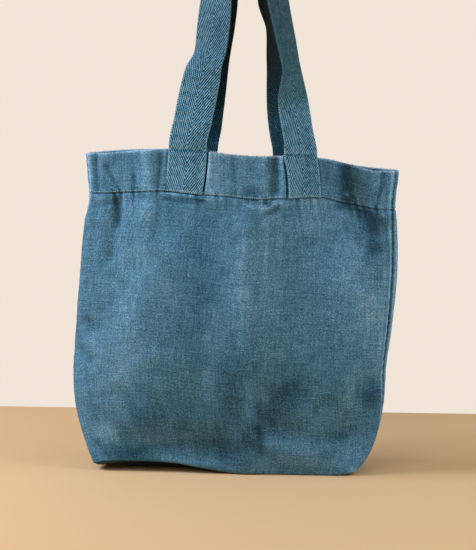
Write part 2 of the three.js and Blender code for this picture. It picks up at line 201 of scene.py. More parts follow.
# More folds and creases in the same terms, which the sewn webbing doesn't follow
FRONT_CREASES = table(
    FOLD_COLUMNS,
    (-88, 300, -94, 150, 42, 8),
    (-32, 292, -38, 120, 26, -4),
    (72, 292, 64, 110, 27, -4.5),
    (161, 282, 156, 130, 32, 7.5),
    (30, 84, 40, 60, 22, -3),
    (-110, 82, 20, 78, 26, -3),
    (17, 285, 16, 60, 9, 1.2),
    (28, 292, 27, 40, 9, -1.6),
    (-158, 366, -157, 322, 3.5, -1.3),
    (-145, 350, -130, 324, 3.5, -1.5),
    (-112, 342, -111, 325, 3, -1.1),
    (-81, 370, -87, 323, 4, -1.5),
    (-97, 366, -99, 332, 8, 1.2),
    (-151, 362, -152, 344, 6, 0.9),
    (-126, 352, -120, 330, 7, 0.8),
    (-131, 314, -132, 285, 4.5, -1.8),
    (-125, 318, -124, 308, 3, 0.8),
    (-139, 317, -141, 306, 4, 0.9),
    (-151, 313, -151, 292, 7, 1.6),
    (-26.5, 369, -24.5, 322, 2.8, 1),
    (2, 363, 2, 320, 4.5, -1.2),
    (14, 358, 14, 322, 6, 0.8),
    (36, 360, 37, 322, 4.5, 1.1),
    (47.5, 361, 46.5, 318, 4.5, -1.6),
    (37, 305, 50, 311, 2.6, 1.2),
    (39, 299, 52, 305, 3.2, -1),
    (37, 313, 43, 311, 2.5, -1.2),
    (55, 313, 60, 310, 2.2, 0.9),
    (17, 313, 36, 311, 2.2, -1),
    (16, 308, 30, 306, 3, 0.6),
    (39, 287, 39, 228, 4, 0.7),
    (124, 350, 126, 314, 8, -2.2),
    (161, 347, 161, 312, 6, 1.4),
    (171, 347, 163, 308, 3.2, -1.8),
    (121, 308, 160, 299, 6, -2.2),
    (153, 297, 168, 297, 3, 1.2),
    (158, 290, 160, 262, 9, -2),
    (-60, 313, -34, 313, 4, -0.9),
    (-160, 306, -140, 309, 3, -1),
    (-152, 60, -124, 26, 7, 0.8),
    (-156, 34, -140, 14, 4, -1),
    (-90, 30, -24, 34, 8, -0.8),
    (-70, 12, 0, 8, 6, 0.8),
    (60, 18, 120, 12, 7, 0.8),
    (30, 54, 34, 28, 6, -1.6),
    (46, 36, 80, 34, 11, 2.2),
    (-128, 78, -112, 36, 10, 1.5),
    (-168, 172, -160, 166, 6, -1),
    (-174, 138, -166, 130, 6, -1),
    (-166, 152, -150, 140, 7, 0.8),
    (-30, 130, 20, 112, 16, -1),
)
BACK_CREASES = table(
    FOLD_COLUMNS,
    (-150, 350, -146, 306, 4, -2.4),
    (-98, 352, -100, 312, 5, -2.2),
    (8, 356, 10, 314, 5, -2),
    (96, 366, 92, 324, 4.5, -2.6),
    (140, 364, 146, 322, 4, -2.4),
    (118, 316, 152, 304, 5, -3),
    (-132, 300, -104, 292, 5, -2.2),
    (-20, 306, 16, 312, 4, -1.8),
    (40, 300, 44, 232, 9, 1.6),
    (-70, 120, 0, 96, 12, -2),
    (118, 120, 150, 150, 10, -2),
)

# Broad patches of painted light (above 0) and painted shade (below 0), standing in for how light falls on the
# folds, hollows and lower body
PATCH_COLUMNS = "x z wide high pale"
FRONT_LIGHT_SHADE_PATCHES = table(
    PATCH_COLUMNS,
    (-153, 338, 26, 40, -0.04),
    (-139, 318, 9, 9, -0.15),
    (-93, 223, 28, 80, 0.11),
    (-58, 235, 20, 40, 0.08),
    (-125, 150, 16, 40, 0.08),
    (-71, 298, 12, 14, -0.1),
    (-20, 342, 9, 30, 0.2),
    (21, 322, 12, 8, -0.2),
    (-143, 108, 20, 44, 0.1),
    (-46, 300, 14, 18, 0.18),
    (-43, 158, 14, 80, -0.05),
    (29, 236, 30, 62, 0.14),
    (92, 302, 16, 22, 0.2),
    (112, 288, 12, 14, 0.08),
    (131, 240, 22, 46, 0.1),
    (159, 160, 14, 36, 0.11),
    (152, 205, 20, 28, 0.09),
    (160, 265, 14, 18, -0.25),
    (157, 92, 12, 16, -0.34),
    (135, 96, 9, 24, 0.12),
    (124, 46, 18, 10, -0.14),
    (153, 291, 20, 14, -0.24),
    (125, 340, 12, 20, -0.06),
    (-38, 58, 72, 28, -0.12),
    (-5, 30, 36, 16, -0.2),
    (-118, 22, 26, 10, -0.35),
    (-104, 56, 26, 14, -0.13),
    (-147, 46, 16, 12, 0.15),
    (-25, 203, 14, 34, -0.07),
    (-2, 98, 13, 40, -0.17),
    (60, 88, 22, 20, -0.14),
    (42, 68, 12, 12, -0.18),
    (112, 92, 12, 12, -0.14),
    (69, 108, 34, 22, -0.13),
    (80, 20, 22, 10, 0.08),
    (134, 22, 22, 12, 0.16),
    (139, 6, 5, 5, 0.3),
    (-112, 321, 24, 7, -0.1),
    (-24, 320, 9, 9, 0.09),
    (158, 194, 10, 24, 0.08),
    (-116, 110, 12, 22, 0.1),
    (6, 120, 16, 34, -0.08),
    (-26, 108, 8, 22, 0.08),
    (55, 66, 20, 24, -0.08),
    (-133, 46, 16, 14, 0.12),
    (0, 22, 26, 12, -0.08),
    (-93, 69, 12, 12, -0.08),
    (38, 92, 10, 10, 0.12),
    (70, 92, 14, 14, -0.1),
    (-158, 69, 8, 10, -0.1),
    (135, 240, 14, 36, 0.07),
    (112, 230, 16, 50, 0.06),
    (-116, 183, 12, 22, 0.08),
    (-12, 340, 20, 24, 0.1),
    (112, 342, 14, 12, -0.1),
    (158, 320, 10, 10, -0.15),
)
BACK_LIGHT_SHADE_PATCHES = table(
    PATCH_COLUMNS,
    (-90, 220, 34, 60, 0.08),
    (70, 180, 40, 50, 0.06),
    (0, 50, 90, 24, -0.07),
    (120, 290, 24, 20, -0.08),
)

# Places painted bluer, standing in for the cool light on the lit parts of the cloth
FRONT_COOL_TINT = table(
    PATCH_COLUMNS,
    (-56, 262, 50, 110, 1),
    (-92, 120, 34, 40, 0.5),
    (118, 240, 36, 70, 0.5),
    (132, 20, 26, 20, 0.9),
    (-124, 30, 40, 16, 0.5),
)
BACK_COOL_TINT = table(PATCH_COLUMNS, (-40, 240, 90, 110, 0.7))

# Narrow lines of painted highlight (above 0) and painted shade (below 0) along folds and creases, with a
# painted shadow under the left handle's sewn end, in the terms of the folds
SHADE_LINE_COLUMNS = "x0 z0 x1 z1 width pale"
FRONT_SHADE_LINES = table(
    SHADE_LINE_COLUMNS,
    (-98, 364, -95, 300, 9, 0.2),
    (-111.5, 342, -110.5, 325, 2.5, -0.14),
    (-157, 366, -156, 322, 3, -0.1),
    (-131, 316, -131, 292, 5, -0.14),
    (128, 352, 130, 316, 9, -0.3),
    (130, 311, 172, 290, 6, -0.16),
    (148, 294, 160, 284, 8, -0.22),
    (127, 321, 130, 318.5, 2.2, 0.45),
    (134, 319, 136, 317, 2, -0.25),
    (31, 54, 35, 30, 5, -0.12),
    (20, 108, 20, 72, 7, 0.22),
    (61, 352, 62, 326, 4, -0.06),
    (48, 362, 50, 326, 5, -0.12),
    (38, 313, 43, 311, 3, -0.12),
    (15, 135, 16, 40, 8, -0.1),
    (-76, 316, -34, 314, 2.5, -0.25),
)
BACK_SHADE_LINES = table(
    SHADE_LINE_COLUMNS,
    (-140, 300, -128, 250, 7, -0.12),
    (118, 300, 132, 236, 7, -0.12),
    (-60, 352, -60, 322, 5, 0.08),
)

# The left front edge of the base doesn't reach the table, and both ends of the base are a little raised
BASE_LIFTS = table(
    "x lift",
    (-159, 9),
    (-148, 11.5),
    (-120, 13),
    (-84, 12.5),
    (-64, 11),
    (-50, 8.5),
    (-33, 5.5),
    (-16, 2.5),
    (4, 0),
)
END_LIFTS = table("x lift", (-159, 5), (-146, 3), (-124, 0), (112, 0), (126, 0.8), (138, 4))

# Free legs of the handles: place and turn of the webbing at each height, seen from the handle's own side
LEG_COLUMNS = "z x y turn"
FRONT_LEFT_LEG = table(
    LEG_COLUMNS,
    (372, -51.5, -27, 10),
    (400, -45.8, -26, 6),
    (428, -40.2, -25.5, 4),
    (456, -33.8, -25, 14),
    (471, -28.6, -25, 32),
    (484, -24.8, -25, 33),
    (512, -21.2, -24.5, 29),
    (540, -18.2, -24.5, 32),
    (600, -10, -24.5, 62),
    (ARCH_START, -6, -ARCH_Y, 90),
)
FRONT_RIGHT_LEG = table(
    LEG_COLUMNS,
    (364, 78, -23, 40),
    (395, 73.2, -23.5, 42),
    (426, 68.3, -24, 46),
    (462, 66.3, -24, 66),
    (490, 61, -24.5, 64),
    (517, 55.4, -24.5, 62),
    (540, 50.8, -24.5, 61),
    (600, 41, -24.5, 76),
    (ARCH_START, 36, -ARCH_Y, 90),
)
BACK_LEFT_LEG = table(
    LEG_COLUMNS,
    (358, -65.5, -22, 8),
    (395, -58.5, -23, 14),
    (432, -54, -24, 26),
    (470, -51.5, -24, 38),
    (507, -48, -24.5, 46),
    (540, -38.5, -24.5, 48),
    (600, -36, -24.5, 70),
    (ARCH_START, -36, -ARCH_Y, 90),
)
BACK_RIGHT_LEG = table(
    LEG_COLUMNS,
    (366, 42, -24, 6),
    (395, 39, -24, 12),
    (426, 34.5, -24, 22),
    (456, 29, -24, 34),
    (484, 23.5, -24, 42),
    (512, 18.5, -24.5, 46),
    (540, 14, -24.5, 50),
    (600, 8, -24.5, 72),
    (ARCH_START, 6, -ARCH_Y, 90),
)

# Each panel with its handle. at_hem and at_rim are where the webbing's middle is sewn on, dips are how deep
# the cloth sinks at its left and right edge, and the shaded leg span, in shares of the run, is where painted
# shade darkens one leg of the handle.
FRONT = {
    "name": "front",
    "is_front": True,
    "edges": FRONT_EDGES,
    "folds": FRONT_FOLDS,
    "creases": FRONT_CREASES,
    "wash": FRONT_LIGHT_SHADE_PATCHES,
    "dye": FRONT_COOL_TINT,
    "shaded_leg": (0.46, 0.56),
    "lines": FRONT_SHADE_LINES,
    "ends": [
        {"at_hem": -68, "at_rim": -62.5, "leg": FRONT_LEFT_LEG, "is_left": True, "dips": (0.8, 5)},
        {"at_hem": 78.5, "at_rim": 70.5, "leg": FRONT_RIGHT_LEG, "is_left": False, "dips": (5, 0.6)},
    ],
    "seed": 11,
}
BACK = {
    "name": "back",
    "is_front": False,
    "edges": BACK_EDGES,
    "folds": BACK_FOLDS,
    "creases": BACK_CREASES,
    "wash": BACK_LIGHT_SHADE_PATCHES,
    "dye": BACK_COOL_TINT,
    "shaded_leg": (-2, -1),
    "lines": BACK_SHADE_LINES,
    "ends": [
        {"at_hem": -58, "at_rim": -54, "leg": BACK_LEFT_LEG, "is_left": True, "dips": (1, 2)},
        {"at_hem": 58, "at_rim": 54, "leg": BACK_RIGHT_LEG, "is_left": False, "dips": (2, 1)},
    ],
    "seed": 23,
}


def read(rows, at, name):
    """A column of a table as a smooth curve over its first column, level beyond the first and last rows."""
    keys, values = next(iter(rows.values())), rows[name]
    order = np.arange(len(keys))
    before = np.maximum(order - 1, 0)
    after = np.minimum(order + 1, len(keys) - 1)
    slopes = (values[after] - values[before]) / (keys[after] - keys[before])
    place = np.clip(at, keys[0], keys[-1])
    high = np.clip(np.searchsorted(keys, place), 1, len(keys) - 1)
    low = high - 1
    span = keys[high] - keys[low]
    t = (place - keys[low]) / span
    rise = t * t * (3 - 2 * t)
    leaving = t * (1 - t) ** 2 * span * slopes[low]
    arriving = t * t * (1 - t) * span * slopes[high]
    return values[low] + (values[high] - values[low]) * rise + leaving - arriving


def smoothstep(at, start, end):
    t = np.clip((at - start) / (end - start), 0, 1)
    return t * t * (3 - 2 * t)


def bell(away, width):
    """1 at no distance, and about a third of that at the width."""
    return np.exp(-((away / width) ** 2))


def fold_height(folds, x, z):
    """Height, or paleness, that a table of folds adds at each place on a face."""
    out = np.zeros(np.broadcast(x, z).shape)
    for x0, z0, x1, z1, width, height in zip(*folds.values()):
        along_x, along_z = x1 - x0, z1 - z0
        share = ((x - x0) * along_x + (z - z0) * along_z) / (along_x**2 + along_z**2)
        nearest = np.clip(share, 0, 1)
        away = np.hypot(x - x0 - nearest * along_x, z - z0 - nearest * along_z)
        out += height * bell(away, width)
    return out


def wash_at(patches, x, z):
    """How much paler or darker a table of patches makes each place."""
    total = np.zeros(np.broadcast(x, z).shape)
    for x0, z0, wide, high, pale in zip(*patches.values()):
        total += pale * bell(x - x0, wide) * bell(z - z0, high)
    return total


def ring_grid():
    """Closed cross-sections, one a millimetre of height, as places evenly spaced along the cloth."""
    z = np.arange(RING_TOP + 1.0)
    angle = 2 * np.pi * np.arange(RING_STEPS + 1) / RING_STEPS
    values = {name: read(SECTIONS, z, name)[:, None] for name in SECTIONS}
    middle = (values["left"] + values["right"]) / 2
    reach = (values["right"] - values["left"]) / 2
    x = middle - reach * np.sign(np.cos(angle)) * np.abs(np.cos(angle)) ** values["round"]
    bulge = np.abs(np.sin(angle)) ** values["round"]
    share = read(WAVE_SHARES, z, "share")[:, None]
    front = -(values["front"] * bulge + share * read(FRONT_WAVES, x, "out"))
    back = values["back"] * bulge + share * read(BACK_WAVES, x, "out")
    y = np.where(np.arange(RING_STEPS + 1) < RING_STEPS / 2, front, back)
    steps = np.hypot(np.diff(x, axis=1), np.diff(y, axis=1))
    lengths = np.concatenate([np.zeros((len(z), 1)), np.cumsum(steps, axis=1)], axis=1)
    shares = np.arange(RING_PLACES + 1) / RING_PLACES
    even = np.empty((2, len(z), RING_PLACES + 1))
    for level in range(len(z)):
        places = shares * lengths[level, -1]
        even[0, level] = np.interp(places, lengths[level], x[level])
        even[1, level] = np.interp(places, lengths[level], y[level])
    return even


RINGS = ring_grid()


def ring_point(panel, across, z):
    """x and y on the cross-section at z of a place across a panel, from the panel's middle to the right."""
    start = 0 if panel["is_front"] else 0.5
    shift = read(SECTIONS, z, "shift")
    share = (across + PANEL_HALF - shift) / (2 * PANEL_WIDTH) + start
    column = (share % 1) * RING_PLACES
    level = np.clip(z, 0, RING_TOP - 1e-6)
    column, level = np.broadcast_arrays(column, level)
    c0 = np.minimum(column.astype(int), RING_PLACES - 1)
    l0 = level.astype(int)
    tc, tl = column - c0, level - l0
    low = RINGS[:, l0, c0] * (1 - tc) + RINGS[:, l0, c0 + 1] * tc
    high = RINGS[:, l0 + 1, c0] * (1 - tc) + RINGS[:, l0 + 1, c0 + 1] * tc
    return low * (1 - tl) + high * tl


def ring_normal(panel, across, z):
    """Level direction out of the bag, as x and y."""
    before = ring_point(panel, across - NORMAL_STEP, z)
    after = ring_point(panel, across + NORMAL_STEP, z)
    out = np.stack([after[1] - before[1], before[0] - after[0]])
    return out / np.hypot(*out)


# The hem's lower edge on the outer face: a lip, the groove at the stitch line and the double cloth above it
GROOVE = table(
    "dz out",
    (-14, 0),
    (-7, 0.1),
    (-3.2, 0.4),
    (-1.8, 0.2),
    (-0.7, -0.7),
    (0.1, -0.8),
    (0.9, 0.05),
    (1.6, 0.5),
    (2.6, 0.35),
    (4.2, 0.5),
    (60, 0.5),
)

# The gathered cloth on both sides of the stitch line: its reach, height and slant, the sizes of the puckers
# and of their groups, and the heights of the group wave between which they show
PUCKER_ABOVE = 5
PUCKER_BELOW = 13
PUCKER_HEIGHT = 0.8
PUCKER_SLANT = 0.35
PUCKER_SIZES = (8, 18)
PUCKER_GROUPS = (45, 110)
PUCKER_SHOWS = (-1.2, 1)

# Side seams: the edge turned in, the allowance that shows through beside it, and small puckers along it
SEAM_TURN = 3.2
SEAM_DEPTH = 2.2
ALLOWANCE_WIDTH = 10
ALLOWANCE_EDGE = 2.5
ALLOWANCE_OUT = 0.4
ALLOWANCE_START = (6, 20)
SEAM_PUCKER = 0.3
SEAM_PUCKER_SIZES = (8, 24)
SEAM_PUCKER_REACH = 6
SEAM_PUCKER_START = (20, 50)

# Heights over which the small relief starts, and how much of its troughs the sewn webbing leaves
RELIEF_START = (2, 14)
PRESSED_TROUGHS = 0.3

# The webbing covers the cloth up to its edges. Beside them, DIP_AWAY out, the cloth dips.
COVER_EDGE = (WEBBING_HALF - 1, WEBBING_HALF + 0.5)
COVER_START = (-2, 0)
DIP_WIDTH = 1.5
DIP_AWAY = 0.8
DIP_START = (0, 3)

# Short folds strewn over each panel, by kind, and what share of its height a fold takes
STREWN = (
    {"count": 70, "reach": (0, 300), "length": (18, 60), "width": (6, 12), "height": 0.6},
    {"count": 300, "reach": (0, 368), "length": (5, 18), "width": (2.2, 4.5), "height": 0.22},
    {"count": 40, "reach": (315, 370), "length": (6, 22), "width": (3, 6), "height": 0.4},
)
STREWN_SHARES = (0.4, 1)


def random_folds(seed, count, reach, length, width, height):
    """Short folds strewn over a panel, as many ridges as troughs."""
    rng = np.random.default_rng(seed)
    x0 = rng.uniform(-PANEL_HALF, PANEL_HALF, count)
    z0 = rng.uniform(*reach, count)
    angle = rng.uniform(0, np.pi, count)
    long = rng.uniform(*length, count)
    return {
        "x0": x0,
        "z0": z0,
        "x1": x0 + long * np.cos(angle),
        "z1": z0 + long * np.sin(angle),
        "width": rng.uniform(*width, count),
        "out": rng.uniform(*STREWN_SHARES, count) * height * rng.choice([-1, 1], count),
    }


def waves(at, seed, sizes, count=7):
    """A smooth random line, about 1 high."""
    rng = np.random.default_rng(seed)
    total = np.zeros(np.shape(at))
    for size in rng.uniform(*sizes, count):
        total += np.sin(2 * np.pi * at / size + rng.uniform(0, 2 * np.pi))
    return total / math.sqrt(count / 2)


def edge_at(panel, across, name):
    """Height of the stitch line (hem) or of the rim."""
    return read(panel["edges"], across, name)


def webbing_middle(panel, end, across, z):
    """Across the panel to the middle of a handle's sewn end, at the height of each place."""
    hem, rim = edge_at(panel, across, "hem"), edge_at(panel, across, "rim")
    share = np.clip((z - hem) / (rim - hem), 0, 1)
    return end["at_hem"] + (end["at_rim"] - end["at_hem"]) * share


def under_webbing(panel, across, z):
    """1 where a handle is sewn over the panel, 0 elsewhere."""
    above = z - edge_at(panel, across, "hem")
    cover = np.zeros(np.broadcast(across, z).shape)
    for end in panel["ends"]:
        away = np.abs(across - webbing_middle(panel, end, across, z))
        near = 1 - smoothstep(away, *COVER_EDGE)
        cover = np.maximum(cover, near * smoothstep(above, *COVER_START))
    return cover


def webbing_dips(panel, across, z):
    """Depth of the dips beside both edges of the sewn webbing."""
    above = z - edge_at(panel, across, "hem")
    depth = np.zeros(np.broadcast(across, z).shape)
    for end in panel["ends"]:
        middle = webbing_middle(panel, end, across, z)
        for side, deep in zip((-1, 1), end["dips"]):
            away = across - middle - side * (WEBBING_HALF + DIP_AWAY)
            depth += deep * bell(away, DIP_WIDTH) * smoothstep(above, *DIP_START)
    return depth


def relief(panel, across, x, z):
    """Small relief of the whole cloth: creases, crumple, the puckers of the stitch lines and the seams."""
    above = z - edge_at(panel, across, "hem")
    from_seam = PANEL_HALF - np.abs(across)
    fade = smoothstep(from_seam, 0, SEAM_FADE)
    out = fold_height(panel["creases"], x, z)
    for strewn in panel["strewn"]:
        out = out + fold_height(strewn, across, z)
    pucker = waves(across + PUCKER_SLANT * above, panel["seed"] + 5, PUCKER_SIZES)
    pucker *= smoothstep(waves(across, panel["seed"] + 6, PUCKER_GROUPS), *PUCKER_SHOWS)
    reach = np.where(above > 0, np.exp(-above / PUCKER_ABOVE), np.exp(above / PUCKER_BELOW))
    out = fade * (out + PUCKER_HEIGHT * pucker * reach) * smoothstep(z, *RELIEF_START)
    cover = under_webbing(panel, across, z)
    out = out * (1 - cover) + np.minimum(out, 0) * cover * PRESSED_TROUGHS
    out = out - webbing_dips(panel, across, z)
    out -= SEAM_DEPTH * np.clip(1 - from_seam / SEAM_TURN, 0, 1) ** 2
    beside = SEAM_PUCKER * waves(z, panel["seed"] + 9, SEAM_PUCKER_SIZES)
    beside = beside * np.exp(-from_seam / SEAM_PUCKER_REACH)
    return out + beside * smoothstep(z, *SEAM_PUCKER_START)


def skin(panel, across, z):
    """Relief of the outer face alone: the stitched groove with its lip, and the side seams' allowance."""
    stitched = read(GROOVE, z - edge_at(panel, across, "hem"), "out")
    cover = under_webbing(panel, across, z)
    from_seam = PANEL_HALF - np.abs(across)
    beside = smoothstep(ALLOWANCE_WIDTH - from_seam, 0, ALLOWANCE_EDGE)
    allowance = ALLOWANCE_OUT * beside * smoothstep(z, *ALLOWANCE_START)
    return stitched * (1 - cover) + np.minimum(stitched, 0) * cover + allowance * (1 - cover)


def wall(panel, across, z, small=True):
    """Middle of the cloth at places on a panel's wall, with or without its small relief."""
    across, z = np.broadcast_arrays(np.asarray(across, float), np.asarray(z, float))
    x, y = ring_point(panel, across, z)
    nx, ny = ring_normal(panel, across, z)
    fade = smoothstep(PANEL_HALF - np.abs(across), 0, SEAM_FADE)
    out = fade * fold_height(panel["folds"], x, z)
    if small:
        out = out + relief(panel, across, x, z)
    return np.stack([x + nx * out, y + ny * out, z], axis=-1)


def unit(vectors):
    return vectors / np.linalg.norm(vectors, axis=-1, keepdims=True)


def grid_normals(places):
    """Directions out of a grid of places, whose columns run to the right and rows upwards."""
    return unit(np.cross(np.gradient(places, axis=1), np.gradient(places, axis=0)))


def wall_normal(panel, across, z, small=True, step=1.0):
    """Direction out of the cloth at places on a panel's wall."""
    aside = wall(panel, across + step, z, small) - wall(panel, across - step, z, small)
    up = wall(panel, across, z + step, small) - wall(panel, across, z - step, small)
    return unit(np.cross(aside, up))


def blurred(values, times):
    """A grid of values with each one drawn towards its neighbours."""
    for _ in range(times):
        for axis in (0, 1):
            count = values.shape[axis]
            padded = np.concatenate([values.take([0], axis), values, values.take([-1], axis)], axis)
            beside = padded.take(range(count), axis) + padded.take(range(2, count + 2), axis)
            values = (beside + 2 * values) / 4
    return values


for panel in (FRONT, BACK):
    panel["strewn"] = [random_folds(panel["seed"] + i, **kind) for i, kind in enumerate(STREWN)]

# Fineness of the cloth's grid, which is finer at the side seams and beside the handles
COLUMN_STEP = 1.35
COLUMN_PLACES = 4001
FINE_STEP = 0.55
FINE_REACH = 4.5
BASE_ROWS = 12
EDGE_ROWS = 6
WALL_ROW_STEP = 2.5
HEM_LINE_ROWS = np.array([-6, -4.5, -3.4, -2.6, -1.9, -1.3, -0.8, -0.4, 0, 0.4, 0.9, 1.5, 2.2, 3, 4, 5.5])
BELOW_HEM_LINE = 1
ABOVE_HEM_LINE = 1.5
HEM_ROWS = 24
RIM_ROWS = 5
INNER_HEM_ROWS = 16
INNER_STEP = 2

# Where the wall starts, the gap that keeps the seams open, how the raised base is arched, the heights from
# the hem over which the cloth's direction turns level, and how often its relief is smoothed for the painted
# shade in its troughs and painted highlight on its ridges
BOTTOM = CLOTH_THICK / 2 + BASE_EDGE_RADIUS
SEAM_CLOSED = 0.02
BASE_ARCH = 4
LEVEL_SPAN = (-10, 0)
SHADE_BLURS = 14

# The middle of the rim is a little rough
RIM_ROUGH = 0.22
RIM_ROUGH_REACH = 45
RIM_ROUGH_END = 6
RIM_ROUGH_SIZES = (3.5, 9)


def panel_columns(panel):
    """Places of a panel's columns, an odd number of them."""
    edge = PANEL_HALF - SEAM_CLOSED
    fine_places = [-edge, edge]
    for end in panel["ends"]:
        middle = (end["at_hem"] + end["at_rim"]) / 2
        fine_places += [middle - WEBBING_HALF, middle + WEBBING_HALF]
    places = np.linspace(-edge, edge, COLUMN_PLACES)
    density = np.full(places.shape, 1 / COLUMN_STEP)
    for fine_place in fine_places:
        density += (1 / FINE_STEP - 1 / COLUMN_STEP) * bell(places - fine_place, FINE_REACH)
    counted = np.concatenate([[0], np.cumsum((density[1:] + density[:-1]) / 2 * np.diff(places))])
    count = 2 * round(counted[-1] / 2) + 1
    return np.interp(np.linspace(0, counted[-1], count), counted, places)


def end_lift(x):
    """Lift of the whole base at its two ends."""
    return np.maximum(read(END_LIFTS, x, "lift"), 0)


def base_lift(panel, x, y):
    """Lift of the base's edge above the table. The front edge's own lift dies away along the side."""
    if not panel["is_front"]:
        return end_lift(x)
    front_lift = np.maximum(read(BASE_LIFTS, x, "lift"), 0)
    return np.maximum(end_lift(x), smoothstep(-y, 0, BASE_DEPTH / 2) * front_lift)


def base_rows(panel, across):
    """The base under each column from its seam outwards, then its rounded edge, and the lift there."""
    corner = ring_point(panel, across, np.zeros(across.shape)).T
    side = 1 if panel["is_front"] else -1
    middle = (SECTIONS["left"][0] + SECTIONS["right"][0]) / 2
    seam = np.stack(
        [middle + side * across * BASE_SEAM_HALF / PANEL_HALF, np.full(across.shape, -side * SEAM_CLOSED)],
        axis=-1,
    )
    lift = base_lift(panel, corner[:, 0], corner[:, 1])
    flat_start = corner + unit(seam - corner) * BASE_EDGE_RADIUS
    wall_start = wall(panel, across, BOTTOM + lift)[:, :2]
    own_lift = lift - end_lift(corner[:, 0])
    rows = []
    for share in np.linspace(0, 1, BASE_ROWS, endpoint=False):
        place = seam + (flat_start - seam) * share
        arched = end_lift(place[:, 0]) + own_lift * (1 - (1 - share) ** BASE_ARCH)
        rows.append(np.column_stack([place, CLOTH_THICK / 2 + arched]))
    for angle in np.linspace(0, math.pi / 2, EDGE_ROWS, endpoint=False):
        place = flat_start + (wall_start - flat_start) * math.sin(angle)
        height = CLOTH_THICK / 2 + lift + BASE_EDGE_RADIUS * (1 - math.cos(angle))
        rows.append(np.column_stack([place, height]))
    return np.array(rows), lift


def panel_sheet(panel):
    """A panel's cloth from the base's seam up the wall, over the rim and down the inside of the hem."""
    across = panel_columns(panel)
    base, lift = base_rows(panel, across)
    hem = edge_at(panel, across, "hem")
    rough = RIM_ROUGH * np.exp(-((across / RIM_ROUGH_REACH) ** RIM_ROUGH_END))
    rough = rough * waves(across, panel["seed"] + 7, RIM_ROUGH_SIZES)
    top = edge_at(panel, across, "rim") - HEM_TOP + rough
    body_top = hem + HEM_LINE_ROWS[0] - BELOW_HEM_LINE
    body_count = round(float((body_top - BOTTOM).mean()) / WALL_ROW_STEP)
    body_shares = np.linspace(0, 1, body_count, endpoint=False)[:, None]
    hem_start = hem + HEM_LINE_ROWS[-1] + ABOVE_HEM_LINE
    z = np.concatenate([
        BOTTOM + lift + (body_top - BOTTOM - lift) * body_shares,
        hem + HEM_LINE_ROWS[:, None],
        hem_start + (top - hem_start) * np.linspace(0, 1, HEM_ROWS)[:, None],
    ])
    face = wall(panel, across, z)
    out = grid_normals(np.concatenate([base, face]))
    level = out[len(base):]
    level[..., 2] *= 1 - smoothstep(z - hem, *LEVEL_SPAN)
    level = unit(level)
    angles = np.linspace(0, math.pi, RIM_ROWS + 2)[1:-1]
    over_out = np.array([level[-1] * math.cos(angle) + UP * math.sin(angle) for angle in angles])
    over = face[-1] + (over_out - level[-1]) * HEM_FOLD / 2
    picks = np.linspace(len(z) - 1, body_count + len(HEM_LINE_ROWS) / 2, INNER_HEM_ROWS).astype(int)
    inner = face[picks] - level[picks] * HEM_FOLD
    plain_before = np.zeros(base.shape[:2])
    plain_after = np.zeros((len(over) + len(inner), len(across)))
    raised = skin(panel, across, z)
    small = raised + relief(panel, across, ring_point(panel, across, z)[0], z)
    # Painted shade in the troughs and painted highlight on the ridges of the small relief
    tone = small - blurred(small, SHADE_BLURS)
    return {
        "across": across,
        "middle": np.concatenate([base, face, over, inner]),
        "out": np.concatenate([out[:len(base)], level, over_out, -level[picks]]),
        "raised": np.concatenate([plain_before, raised, plain_after]),
        "tone": np.concatenate([plain_before, tone, plain_after]),
        "rim_row": len(base) + len(z),
    }


# Webbing: columns across it, rows along it, its ribs and its thinner, ragged selvedges. COLUMN_POWER packs
# the columns towards the edges, and EDGE_POWER keeps the raggedness there.
WEBBING_COLUMNS = 25
WEBBING_STEP = 1.3
SEWN_ROWS = 37
ARCH_ROWS = 50
LEG_BLEND = 30
WEBBING_STAND = CLOTH_THICK / 2 + PIECE_GAP + WEBBING_THICK / 2
SELVEDGE_WIDTH = 1.6
SELVEDGE_THICK_SHARE = 0.6
SELVEDGE_WAVE = 0.3
RIB_PITCH = 5
RIB_SLOPE = 1.95
EDGE_POWER = 12
COLUMN_POWER = 0.9

# How the webbing is bent: it rolls slowly along its run, is cupped across, and has a dent where it leaves the
# rim. Roll and cup set in after that, over a short stretch.
WEBBING_ROLL = 0.5
ROLL_SIZES = (60, 160)
WEBBING_CUP = 0.35
RIM_DENT = 0.7
RIM_DENT_REACH = 2.2
FREE_AFTER = 12


def leg_middle(leg, z):
    return np.stack([read(leg, z, "x"), read(leg, z, "y"), z], axis=-1)


def webbing_rows(middle, along, across, offsets):
    """Rows of places across the webbing, square to its run."""
    square = unit(across - along * np.sum(across * along, axis=-1, keepdims=True))
    return middle[:, None, :] + offsets[None, :, None] * square[:, None, :]


def sewn_rows(panel, end, offsets):
    """The webbing's rows on the hem, from the stitch line up."""
    share = np.linspace(0, 1, SEWN_ROWS)[:, None]
    across = end["at_hem"] + (end["at_rim"] - end["at_hem"]) * share + offsets[None, :]
    hem = edge_at(panel, across, "hem")
    top = edge_at(panel, across, "rim") - HEM_TOP
    z = hem + (top - hem) * share
    out = wall_normal(panel, across, z, small=False, step=NORMAL_STEP)
    out[..., 2] = 0
    return wall(panel, across, z, small=False) + unit(out) * WEBBING_STAND


def leg_rows(panel, end, rim_row, offsets):
    """The free rows of one leg, from the rim up. The outer face turns outwards."""
    leg = end["leg"]
    start = leg["z"][0]
    count = round((ARCH_START - start) / WEBBING_STEP)
    z = np.linspace(start, ARCH_START, count + 1)[1:]
    along = unit(leg_middle(leg, z + NORMAL_STEP) - leg_middle(leg, z - NORMAL_STEP))
    turn = np.radians(read(leg, z, "turn"))
    sideways = -np.sin(turn) if end["is_left"] else np.sin(turn)
    across = np.stack([np.cos(turn), sideways, np.zeros(turn.shape)], axis=-1)
    places = webbing_rows(leg_middle(leg, z), along, across, offsets)
    if not panel["is_front"]:
        places[..., :2] *= -1
    straight = rim_row[None] + (z - start)[:, None, None] * UP
    settled = smoothstep(z - start, 0, LEG_BLEND)[:, None, None]
    return straight + (places - straight) * settled


